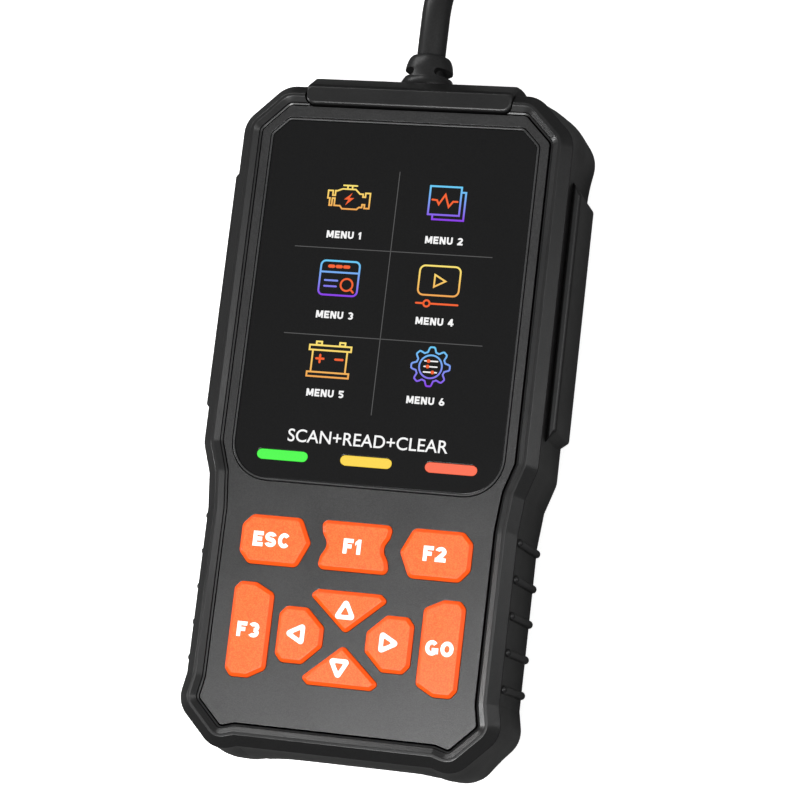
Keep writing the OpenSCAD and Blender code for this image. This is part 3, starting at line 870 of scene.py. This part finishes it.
def add_end_cap():
    """The rubber cap over the top end: a flat front, a sloping back and a thin line between them."""
    top_y, seam, seam_low = CAP_EDGE_Y - 4.5, 0.14, 35.75
    levels = [   # inset, back, corner radius, front inset, height
        (1, CAP_BACK_Y - 1.4, 1, 0, 8), (0.2, CAP_BACK_Y - 0.3, 1.4, 0, 9), (0, CAP_BACK_Y, 2, 0, 10),
        (0, CAP_BACK_Y, 2.4, 0, 21), (0, CAP_BACK_Y - 0.2, 2.4, 0, 24),
        (0, CAP_EDGE_Y + 0.05, 2.4, 0, 28.6), (0, CAP_EDGE_Y - 0.35, 2.4, 0, 29.8),
        (0, top_y + 1.15, 2.4, 0, FACE_Z - 0.2),
        (0, top_y + 0.75, 2.4, 0, FACE_Z + 0.2), (0.03, top_y + 0.6, 2.4, 0, FACE_Z + 0.42),
        (0.1, top_y + 0.42, 2.35, 0.1, FACE_Z + 0.6), (0.28, top_y + 0.2, 2.2, 0.28, FACE_Z + 0.84),
        (0.55, top_y, 2, 0.55, FACE_Z + 0.98), (0.9, top_y - 0.3, 1.8, 0.9, RIDGE_Z + 0.02),
    ]
    rings = []
    for inset, back, r, front_inset, z in levels:
        half = [(CAP_HALF - inset, CAP_LOW_Y + front_inset, r), (CAP_HALF - inset, back, 1)]
        rings.append(at(rounded(both(half), 10), z))
    cap = add_mesh("cap_shell", loft(rings), "bumper_rubber", 32)
    bore = lathe([(7.45, CAP_LOW_Y - 2), (7.45, CAP_BACK_Y + 3)], LEAD_Z, 64)
    line = bar(-CAP_HALF - 1, top_y + 0.1, CAP_HALF + 1, top_y + 0.1 + seam)
    cut_away(cap, joined([bore, prism(line, seam_low, RIDGE_Z + 2)]))
    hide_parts("end_cap")


add_bumper()
add_rails()
add_ribs()
add_end_cap()


# ---- keys

SIDE_TOP, SIDE_BOTTOM, PAD_MID = -48, -73.3, -60.8
EXIT_KEY = mirrored([
    (12.2, -36.5, 1.4), (15.3, -43.2, 2), (28.9, -43.2, 2), (31.6, -40.1, 2),
    (31.6, -32.8, 2), (28.9, -30, 2), (15.3, -30, 2),
])
CODES_KEY = [
    (-9.9, -29.9, 1.6), (-9.2, -33.4, 3), (-7.4, -36.4, 3), (-9.2, -39.4, 3), (-9.9, -43, 1.6),
    (9.9, -43, 1.6), (9.2, -39.4, 3), (7.4, -36.4, 3), (9.2, -33.4, 3), (9.9, -29.9, 1.6),
]
OK_KEY = [
    (20.4, -70.7, 1.6), (25.2, SIDE_BOTTOM, 2), (30, SIDE_BOTTOM, 1.6), (31.6, -71.2, 1.6),
    (31.6, -49.8, 1.6), (30, SIDE_TOP, 1.6), (25.6, SIDE_TOP, 2), (20.4, -50.6, 1.6),
]
UP_KEY = [
    (0, -59.3, 1.4), (10.6, -49.9, 0.9), (8.6, -48.2, 0.9), (-8.6, -48.2, 0.9), (-10.6, -49.9, 0.9),
]
RIGHT_KEY = [
    (5.8, -63.4, 1.4), (10.8, -68.3, 1.6), (16.6, -68.3, 1.6), (18.4, -66.2, 1.4),
    (18.4, -55.5, 1.4), (16.6, -53.4, 1.6), (10.8, -53.4, 1.6), (5.8, -58.2, 1.4),
]
KEYS = {
    "exit": EXIT_KEY, "codes": CODES_KEY, "battery": mirrored(EXIT_KEY),
    "monitor": mirrored(OK_KEY), "ok": OK_KEY, "up": UP_KEY, "down": flipped(UP_KEY, PAD_MID),
    "left": mirrored(RIGHT_KEY), "right": RIGHT_KEY,
}


def add_key(name, outline):
    """A keycap: straight sides, a rounded shoulder and a flat top."""
    edge = [
        (0.85, KEY_LOW_Z + 2, 0), (0.85, FACE_Z - 2.85, 0), (0, FACE_Z - 2.8, 0), (0, FACE_Z + 0.22, 0.3),
        (-0.95, KEY_Z, 0.4), (-2, KEY_Z, 0),
    ]
    levels = [(d, z) for d, z in profile(edge) if d > -1.6]
    shape = loft(stack(lambda d: rim_of(outline, d), levels))
    key = add_mesh("keycap_" + name, shape, "key_orange", 50, name + "_button")
    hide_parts("key_" + name)


for key_name, key_outline in KEYS.items():
    add_key(key_name, key_outline)


# ---- lettering and marks

MARK_T = 0.04   # how thick a printed mark is


def ribbon(points, width, closed=False):
    """A stroke along a polyline, as loops: one for an open line with round ends, two for a closed one."""
    pts = [Vector(p[:2]) for p in points]
    n = len(pts)
    left, right = [], []
    for i, p in enumerate(pts):
        a = pts[i - 1] if closed or i else None
        b = pts[(i + 1) % n] if closed or i < n - 1 else None
        u = (p - a).normalized() if a is not None else (b - p).normalized()
        v = (b - p).normalized() if b is not None else u
        s = Vector((-u.y, u.x)) + Vector((-v.y, v.x))
        s = s.normalized() / max(0.35, cos(u.angle(v) / 2))
        left.append(p + s * width / 2)
        right.append(p - s * width / 2)
    if closed:
        area = sum(p.x * q.y - p.y * q.x for p, q in zip(pts, pts[1:] + pts[:1]))
        return [right, left] if area > 0 else [left, right]
    caps = []
    for end, spoke in ((pts[-1], right[-1] - pts[-1]), (pts[0], left[0] - pts[0])):
        caps.append([end + Matrix.Rotation(pi * k / 6, 2) @ spoke for k in range(1, 6)])
    return [right + caps[0] + left[::-1] + caps[1]]


def triangle_mark(cx, cy, heading):
    """A hollow rounded triangle that points along heading, in degrees."""
    middle = [(-1.65, -2.2, 0.1), (2.4, 0, 0.1), (-1.65, 2.2, 0.1)]
    turn = Matrix.Rotation(radians(heading), 2)
    loops = []
    for side, r in ((1, 0.85), (-1, 0.25)):
        edge = [(x, y, r) for x, y, _ in grown(middle, side * 0.58)]
        loops.append([turn @ q + Vector((cx, cy)) for q in rounded(edge, 6)])
    return loops


def flat_mark(loops, z, thick=MARK_T):
    """A thin solid between an outer loop and the holes in it."""
    parts = [filled(loops, z + thick, True), filled(loops, z, False)]
    return joined(parts + [tube([at(loop, z), at(loop, z + thick)]) for loop in loops])


def ellipse(x, y, rx, ry, angles):
    return [(x + rx * cos(a), y + ry * sin(a)) for a in angles]


def band(x, y, rx, ry, start, stop, width):
    """A stroke of even width along part of an ellipse, angles in degrees."""
    steps = max(8, round(abs(stop - start) / 12))
    angles = [radians(start + (stop - start) * k / steps) for k in range(steps + 1)]
    h = width / 2
    return ellipse(x, y, rx + h, ry + h, angles) + ellipse(x, y, rx - h, ry - h, angles[::-1])


def hoop(x, y, rx, ry, width):
    """A closed stroke along an ellipse: the outer loop and the hole."""
    angles = [2 * pi * k / 32 for k in range(32)]
    return [ellipse(x, y, rx + h, ry + h, angles) for h in (width / 2, -width / 2)]


def block_letter(letter, w, t):
    """The strokes of a heavy capital or figure, one unit high and w wide with strokes of t."""
    m, rx, ry, bowl = w / 2, (w - t) / 2, 0.5 - t / 2, (1 - t) / 4
    stem, right_stem, head = bar(0, 0, t, 1), bar(w - t, 0, w, 1), bar(0, 1 - t, w, 1)
    foot = bar(0, 0, w, t)
    return {
        "C": [band(m, 0.5, rx, ry, 40, 320, t)],
        "E": [stem, head, bar(0, ry, w - 0.07, 0.5 + t / 2), foot],
        "F": [stem, head, bar(0, 0.36, w - 0.1, 0.36 + t)],
        "G": [
            band(m, 0.5, rx, ry, 40, 325, t), bar(m, 0.5 - t * 0.85, w, 0.5), bar(w - t, 0.12, w, 0.5),
        ],
        "M": [
            stem, right_stem, [(0, 1), (m - t * 0.5, 0.12), (m + t * 0.4, 0.12), (t * 1.25, 1)],
            [(w, 1), (w - t * 1.25, 1), (m - t * 0.4, 0.12), (m + t * 0.5, 0.12)],
        ],
        "N": [stem, right_stem, [(0, 1), (w - t * 1.2, 0), (w, 0), (t * 1.2, 1)]],
        "O": [hoop(m, 0.5, rx, ry, t)],
        "S": [band(m, 0.5 + bowl, rx, bowl, 15, 270, t), band(m, 0.5 - bowl, rx, bowl, 90, -165, t)],
        "U": [bar(0, 0.36, t, 1), bar(w - t, 0.36, w, 1), band(m, 0.37, rx, ry - 0.13, 180, 360, t)],
        "1": [[
            (m - t / 2, 0), (m + t / 2, 0), (m + t / 2, 1), (m - t / 2 + 0.08, 1), (0, 0.8), (0, 0.56),
            (m - t / 2, 0.7),
        ]],
        "2": [
            band(m, 1 - t / 2 - 0.2, rx, 0.2, 165, -35, t), foot,
            [(w - 0.02, 0.58), (w - t * 1.1, 0.66), (0, t * 0.7), (t * 1.7, t * 0.7)],
        ],
        "3": [
            band(m - 0.02, 0.5 + bowl, rx, bowl, 150, -90, t),
            band(m - 0.02, 0.5 - bowl, rx, bowl, 90, -150, t),
        ],
        "4": [
            bar(w * 0.5, 0, w * 0.5 + t, 1), bar(0, 0.2, w, 0.2 + t * 0.85),
            [(0, 0.22), (t * 1.1, 0.22), (w * 0.5 + t * 0.9, 1), (w * 0.5 - 0.02, 1), (0, 0.4)],
        ],
        "5": [
            bar(0.05, 1 - t, w - 0.04, 1), bar(0.05, 0.5, 0.05 + t * 0.9, 1),
            band(m - 0.02, 0.325, rx, 0.325 - t / 2, 115, -150, t),
        ],
        "6": [
            hoop(m, 0.32, rx, 0.32 - t / 2, t), [(0, 0.34), (t, 0.4), (m + t * 0.75, 1), (m - t * 0.35, 1)],
        ],
        " ": [],
    }[letter]


LETTER_WIDTHS = {
    "C": 0.84, "E": 0.7, "F": 0.68, "G": 0.88, "M": 0.98, "N": 0.82, "O": 0.88, "S": 0.78, "U": 0.8,
    "1": 0.52, "2": 0.74, "3": 0.74, "4": 0.78, "5": 0.74, "6": 0.76, " ": 0.34,
}


def block_text(text, cx, cy, height, z, weight=0.27, gap=0.13):
    """Heavy lettering as thin solids, its middle at (cx, cy)."""
    x = -(sum(LETTER_WIDTHS[c] for c in text) + gap * (len(text) - 1)) / 2
    parts = []
    for c in text:
        for k, stroke in enumerate(block_letter(c, LETTER_WIDTHS[c], weight)):
            loops = stroke if isinstance(stroke[0], list) else [stroke]
            placed = [[(cx + height * (x + a), cy + height * (b - 0.5)) for a, b in loop] for loop in loops]
            parts.append(flat_mark(placed, z, 0.03 + 0.004 * k))
        x += LETTER_WIDTHS[c] + gap
    return joined(parts)


def add_legend(name, shape):
    add_mesh("legend_" + name, shape, "key_orange", body=name + "_button", material="print_white_painted_glow")


LEGENDS = {
    "exit": ("ESC", -22.8, -36.5), "codes": ("F1", -0.4, -36.4), "battery": ("F2", 21.8, -36.4),
    "monitor": ("F3", -26.2, -60.7), "ok": ("GO", 25.9, -60.7),
}
for key_name, (legend, x, y) in LEGENDS.items():
    add_legend(key_name, block_text(legend, x, y, 4, KEY_Z))
ARROWS = {
    "up": (-0.4, -53.4, 90), "left": (-12.9, -60.6, 180), "down": (-0.4, -68.2, -90),
    "right": (11.9, -60.6, 0),
}
for key_name, spot in ARROWS.items():
    add_legend(key_name, flat_mark(triangle_mark(*spot), KEY_Z))


# ---- face, lens, lamps

LAMP_Y, LAMP_PITCH, LAMP_L, LAMP_W = -13.6, 23.2, 14, 2.6
LAMPS = ((-1, "green"), (0, "yellow"), (1, "red"))


def lens_loop(d):
    """The lens's outline: round lower corners, cut upper ones."""
    cut = 4.3
    half = [
        (LENS_HALF + d, LENS_LOW - d, 10 + d), (LENS_HALF + d, LENS_HIGH - cut + 0.41 * d, 1.2 + d),
        (LENS_HALF - cut + 0.41 * d, LENS_HIGH + d, 1.2 + d),
    ]
    return rounded(both(half), 12)


def face_loop(d):
    return rim_of(FULL_FACE, d - 0.3)


def key_hole(outline):
    return lambda d: rim_of(outline, 0.07 + d)


def lamp_loop(i, clear=0.0):
    return lambda d: pill(i * LAMP_PITCH, LAMP_Y, LAMP_L + 2 * (d + clear), LAMP_W + 2 * (d + clear))


def add_face():
    holes = [key_hole(outline) for outline in KEYS.values()] + [lambda d: lens_loop(0.85 + d)]
    plate_low = FACE_Z - PLATE_T
    plate = panel(face_loop, holes, plate_low, FACE_Z, 0.08)
    sides = wall(face_loop, 0, -2, SPLIT_Z, plate_low + 0.05)
    seat = wall(lens_loop, 1.5, -6, LENS_BASE - 0.1, plate_low)
    face = add_mesh("face_panel", joined([plate, sides, seat]), "grey_casing", 12)
    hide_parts("front_case")


def add_lens():
    pane = panel(lens_loop, [lamp_loop(i, 0.1) for i, _ in LAMPS], LENS_BASE, LENS_Z, 0.2)
    lens = add_mesh("lens_pane", pane, "screen_lens", 12)
    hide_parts("screen_lens")
    edge = [
        (0.06, LENS_BASE, 0), (0.06, FACE_Z + 0.1, 0.08), (RIM_W / 2 + 0.05, FACE_Z + 0.2, 0.2),
        (RIM_W, FACE_Z + 0.04, 0.12), (RIM_W, LENS_BASE, 0),
    ]
    rim = add_mesh("rim_bead", loft(stack(lens_loop, profile(edge)), closed=True), "lens_rim", 60)
    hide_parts("lens_rim")


def add_lamps():
    levels = [
        (0, LENS_Z - 2), (0, LENS_Z - 0.08), (-0.05, LENS_Z + 0.03), (-0.2, LENS_Z + 0.09),
        (-0.5, LENS_Z + 0.1),
    ]
    for i, name in LAMPS:
        lamp = add_mesh("light_pipe_" + name, loft(stack(lamp_loop(i), levels)), "lamp_" + name)
        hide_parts("lamp_" + name)


add_face()
add_lens()
add_lamps()


# ---- the lit screen

SCREEN_Z = LENS_Z + 0.01
LEFT_X, RIGHT_X = -13.4, 14.3   # middle of each menu column
ROW_Y = (57.6, 36.2, 12.9)   # middle of each icon
CAPTION_Y = (47.4, 25.3, 3.9)
LINE = 0.5


def shifted(points, place):
    return [(p[0] + place[0], p[1] + place[1]) for p in points]


def soft_box(half, y0, y1, r):
    return rounded(both([(half, y0, r), (half, y1, r)]), 5)


def strokes(place, width, lines, closed=()):
    """Open lines and closed outlines about a place, as thin solids."""
    loops = [ribbon(shifted(points, place), width) for points in lines]
    loops += [ribbon(shifted(points, place), width, True) for points in closed]
    return joined([flat_mark(loop, SCREEN_Z, 0.03) for loop in loops])


def add_lit(name, shape, material):
    return add_mesh(name, shape, "display", material=material)


def add_grid():
    lines = [[(0, -1), (0, 65.6)], [(-26.8, 43.6), (27.9, 43.6)], [(-26.8, 19.6), (27.9, 19.6)]]
    add_lit("screen_grid", strokes((0, 0), 0.22, lines), "screen_grid")


def add_engine_icon():
    """An engine block in outline, with a lit mark inside."""
    place = (LEFT_X, ROW_Y[0])
    block = [
        (-3.4, 1.9), (-2, 2.5), (1.7, 2.5), (3, 1.3), (3.9, 1.3), (3.9, 0.5), (4.6, 0.5), (4.6, 1.6),
        (5.9, 1.6), (5.9, -2.6), (4.6, -2.6), (4.6, -1.6), (3.9, -1.6), (3.9, -2.4), (3.1, -2.4), (2.5, -3),
        (-1.6, -3), (-2.3, -2.2), (-3.9, -2.2), (-3.9, -0.2), (-4.6, -0.2), (-4.6, -2.2), (-5.3, -2.2),
        (-5.3, -0.2), (-5.9, -0.2), (-5.9, 1.9), (-4.6, 1.9), (-4.6, 0.6), (-3.9, 0.6), (-3.9, 1.9),
    ]
    cap = [[(-1.8, 3.5), (2, 3.5)], [(-0.6, 3.4), (-0.6, 2.6)], [(0.7, 3.4), (0.7, 2.6)]]
    add_lit("icon_engine", strokes(place, 0.42, cap, [block]), "icon_warm")
    bolt = [(0.9, 1.5), (-1.3, -0.4), (-0.1, -0.4), (-0.8, -2), (1.5, 0.1), (0.2, 0.1)]
    add_lit("icon_engine_mark", flat_mark([shifted(bolt, place)], SCREEN_Z), "icon_orange")


def add_graph_icon():
    place = (RIGHT_X - 1, ROW_Y[0] + 0.7)
    behind = [(4.6, 2.5), (5.6, 2.5), (5.6, -5.2), (-3, -5.2), (-3, -4.2)]
    add_lit("icon_graph", strokes(place, LINE, [behind], [bar(-4.3, -3.9, 4.3, 3.9)]), "icon_cool")
    pulse = [(-3.5, 0.2), (-2.2, 0.1), (-1.6, -1), (0, 1.7), (1.2, -1.6), (2.3, -0.1), (3.5, -0.1)]
    add_lit("icon_graph_line", strokes(place, LINE, [pulse]), "icon_orange")


def add_list_icon():
    place = (LEFT_X, ROW_Y[1] - 0.8)
    page = soft_box(5.4, -4.7, 4.7, 1.3)
    lines = [[(-5.2, 1.6), (5.2, 1.6)], [(-3.9, -0.7), (-0.4, -0.7)], [(-3.9, -2.3), (-0.6, -2.3)]]
    add_lit("icon_list", strokes(place, LINE, lines, [page]), "icon_cool")
    glass = strokes(place, LINE, [[(3.5, -2.9), (4.3, -3.7)]], [circle(2.3, -1.7, 1.65, 24)])
    bars = strokes(place, 0.9, [[(2.1 * k - 3, 3.2), (2.1 * k - 1.9, 3.2)] for k in range(3)])
    add_lit("icon_list_lens", joined([glass, bars]), "icon_orange")


def add_replay_icon():
    place = (RIGHT_X, ROW_Y[1])
    play = [(-1.3, 1.8), (-1.3, -1.5), (1.7, 0.15)]
    outlines = [soft_box(5.6, -3.8, 4.2, 1.5), play]
    add_lit("icon_replay", strokes(place, 0.46, [], outlines), "icon_warm")
    track = [[(-5.7, -6.1), (-3.7, -6.1)], [(-1.9, -6.1), (5.7, -6.1)]]
    add_lit("icon_replay_bar", strokes(place, LINE, track, [circle(-2.8, -6.1, 0.85, 20)]), "icon_orange")


def add_battery_icon():
    place = (LEFT_X, ROW_Y[2])
    sides = [[(-4.8, 2.5), (-4.8, -3.3)], [(4.8, 2.5), (4.8, -3.3)]]
    outlines = [
        bar(-5.8, 2.6, 5.8, 3.9), bar(-5.8, -4.6, 5.8, -3.4), bar(-4, 4, -2.5, 4.9), bar(2.5, 4, 4, 4.9),
    ]
    add_lit("icon_battery", strokes(place, 0.46, sides, outlines), "icon_warm")
    signs = [[(-3.6, 0.3), (-1.6, 0.3)], [(-2.6, -0.7), (-2.6, 1.3)], [(1.7, 0.3), (3.7, 0.3)]]
    add_lit("icon_battery_signs", strokes(place, 0.6, signs), "icon_orange")


def add_setup_icon():
    """A cog of eight lobes round three sliders."""
    place = (RIGHT_X + 0.3, ROW_Y[2] + 0.2)
    lobes, steps = 8, 16
    cog = []
    for k in range(lobes * steps):
        a = 2 * pi * k / (lobes * steps) + pi / lobes
        r = 4.65 + 0.62 * max(-1, min(1, 1.7 * cos(lobes * a)))
        cog.append((r * cos(a), r * sin(a)))
    add_lit("icon_setup", strokes(place, 0.46, [], [cog, circle(0, 0, 3.1, 40)]), "icon_cool")
    knobs = ((-0.7, 1.5), (-0.8, 0), (0.7, -1.5))
    sliders = [[(-1.75, y), (1.75, y)] for _, y in knobs]
    add_lit("icon_setup_sliders", strokes(place, 0.36, sliders), "screen_white")
    discs = [flat_mark([shifted(circle(x, y, 0.5, 20), place)], SCREEN_Z + 0.02, 0.03) for x, y in knobs]
    add_lit("icon_setup_knobs", joined(discs), "icon_orange")


def add_captions():
    """Generic captions: the menu's entries are numbered."""
    spots = [(x, y) for y in CAPTION_Y for x in (LEFT_X, RIGHT_X)]
    for number, (x, y) in enumerate(spots, 1):
        caption = block_text(f"MENU {number}", x, y, 2.0, SCREEN_Z, 0.23, 0.16)
        add_lit(f"caption_{number}", caption, "screen_white")


def add_title():
    """The line of light lettering under the menu, as a thin solid."""
    name, capital, stretch = "title_line", 3.4, 0.98
    curve = bpy.data.curves.new(name, "FONT")
    curve.body = "SCAN+READ+CLEAR"
    curve.align_x, curve.align_y = "CENTER", "CENTER"
    curve.size = capital / 0.7 * MM
    curve.offset = 0.03 * MM
    curve.extrude = MARK_T / 2 * MM
    curve.resolution_u = 6
    written = put(name + "_text", curve)
    bpy.context.view_layer.update()
    mesh = bpy.data.meshes.new_from_object(written.evaluated_get(bpy.context.evaluated_depsgraph_get()))
    bpy.data.objects.remove(written)
    mesh.transform(Matrix.Diagonal((stretch, 1, 1, 1)))
    mesh.transform(Matrix.Translation(Vector((-0.3, -8.2, SCREEN_Z + 0.02)) * MM))
    mesh.materials.clear()
    mesh.materials.append(MAT["screen_white"])
    title = put(name, mesh)
    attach(title, BODY)


add_grid()
add_engine_icon()
add_graph_icon()
add_list_icon()
add_replay_icon()
add_battery_icon()
add_setup_icon()
add_captions()
add_title()


# ---- rear casing

CASE_BOSSES = [(side * x, y) for x, y in ((30, 76.8), (34.4, 24), (29, -79.6)) for side in (-1, 1)]


def screw_hole(x, y):
    return lambda d: circle(x, y, 2.5 + d)


def case_loop(d):
    return rim_of(FULL_FACE, d)


def add_rear_case():
    recess = both([(24, 26, 2), (24, 62, 2)])
    holes = [screw_hole(x, y) for x, y in CASE_BOSSES]
    skin = panel(lambda d: case_loop(d - 1.6), holes + [lambda d: rim_of(recess, d)], 0, 0.6, 0.25)
    floor_plate = panel(lambda d: case_loop(d - 0.25), holes, 0.55, 2.4, 0.5)
    sides = wall(case_loop, -0.25, -2.2, 2, SPLIT_Z - 0.1)
    rear = add_mesh("rear_shell", joined([skin, floor_plate, sides]), "black_casing", 12)
    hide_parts("rear_case")


def case_screw(x, y):
    """A screw with a cross-shaped recess in its head, which faces down."""
    head = [(0.9, 3.85), (2.25, 3.85), (2.3, 3.7), (2.3, 2.5), (2.2, 2.25), (1.9, 2.12), (1.45, 2.08)]
    verts, faces = loft([at(circle(x, y, r), z) for r, z in head])
    cross = []
    for k in range(4):
        for turn, r in ((-0.22, 1.25), (0.22, 1.25), (pi / 4, 0.42)):
            a = pi / 2 * k + turn
            cross.append(Vector((x + r * cos(a), y + r * sin(a))))
    deep = [Vector((x, y)).lerp(q, 0.55) for q in cross]
    pit_verts, pit_faces = loft([at(cross, 2.08), at(deep, 3.1)])
    shank = loft([at(circle(x, y, r, 24), z) for r, z in ((1, 3.6), (1, 27), (0.6, 27.5))])
    rim = filled([circle(x, y, 1.45), cross], 2.08, False)
    return joined([(verts, faces[:-1]), rim, (pit_verts, pit_faces[:-2] + pit_faces[-1:]), shank])


add_rear_case()
screws = add_mesh("cross_screws", joined([case_screw(x, y) for x, y in CASE_BOSSES]), "screw_steel", 35)
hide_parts("case_screws")


# ---- inner pieces that stay as CAD

INNER = {
    "display_module": "display", "display_flex": "flex_film", "main_board": "board_green",
    "board_chips": "chip_black", "key_switches": "switch_steel", "status_leds": "led_body",
    "buzzer": "chip_black", "lead_header": "header_ivory", "keypad_mat": "mat_rubber",
    "board_screws": "screw_steel", "lead_clamp": "black_casing", "clamp_screws": "screw_steel",
    "lead_inner": "lead_rubber", "lead_wires": "wire_red",
}
for node_name, finish in INNER.items():
    dress(node_name, finish)


# ---- stage

def add_floor():
    """A pale floor just below z = 0, which throws little light back at the reader's sides."""
    half = 6
    mesh = bpy.data.meshes.new("floor")
    mesh.from_pydata(at(bar(-half, -half, half, half), 0), [], [(0, 1, 2, 3)])
    floor = put("floor", mesh)
    floor.location.z = -0.0002
    tree, shader = new_material("floor")
    seen = tree.nodes.new("ShaderNodeLightPath").outputs["Is Camera Ray"]
    pale = mix(noise(tree, 4, 2), (0.90, 0.90, 0.90), (0.93, 0.93, 0.93))
    paint(shader, {
        "Base Color": mix(seen, (0.10, 0.10, 0.10), pale), "Emission Color": (1, 1, 1, 1),
        "Emission Strength": product(seen, 0.7), "Roughness": 0.9, "Specular IOR Level": 0.1,
    })
    mesh.materials.append(MAT["floor"])


def add_area(name, place, target, size, power):
    data = bpy.data.lights.new(name, "AREA")
    data.shape = "RECTANGLE"
    data.size, data.size_y = size
    data.energy = power
    light = put(name, data)
    light.location = place
    light.rotation_euler = (Vector(target) - Vector(place)).to_track_quat("-Z", "Y").to_euler()


def add_world(strength):
    world = bpy.data.worlds.new("world")
    world.use_nodes = True
    paint(world.node_tree.nodes["Background"], {"Color": (1, 1, 1, 1), "Strength": strength})
    scene.world = world


add_floor()
add_world(0.34)
add_area("key_light", (-0.08, -0.35, 1.0), (0, -0.04, 0), (0.22, 0.18), 9.2)
add_area("right_strip", (0.56, 0.1, 0.86), (0, 0, 0.02), (0.07, 0.7), 1.8)
add_area("right_low", (0.95, 0.12, 0.2), (0, 0, 0.03), (0.14, 1.0), 1.2)
add_area("left_strip", (-0.9, -0.12, 0.27), (0, -0.05, 0.03), (0.1, 0.3), 2.8)
add_area("top_strip", (-0.42, 0.8, 0.5), (0, 0, 0.02), (0.5, 0.12), 2.2)
add_area("far_strip", (-0.75, 0.62, 0.3), (0, 0, 0.02), (0.3, 0.12), 1.6)

scene.view_settings.view_transform = "Standard"
scene.view_settings.look = "None"
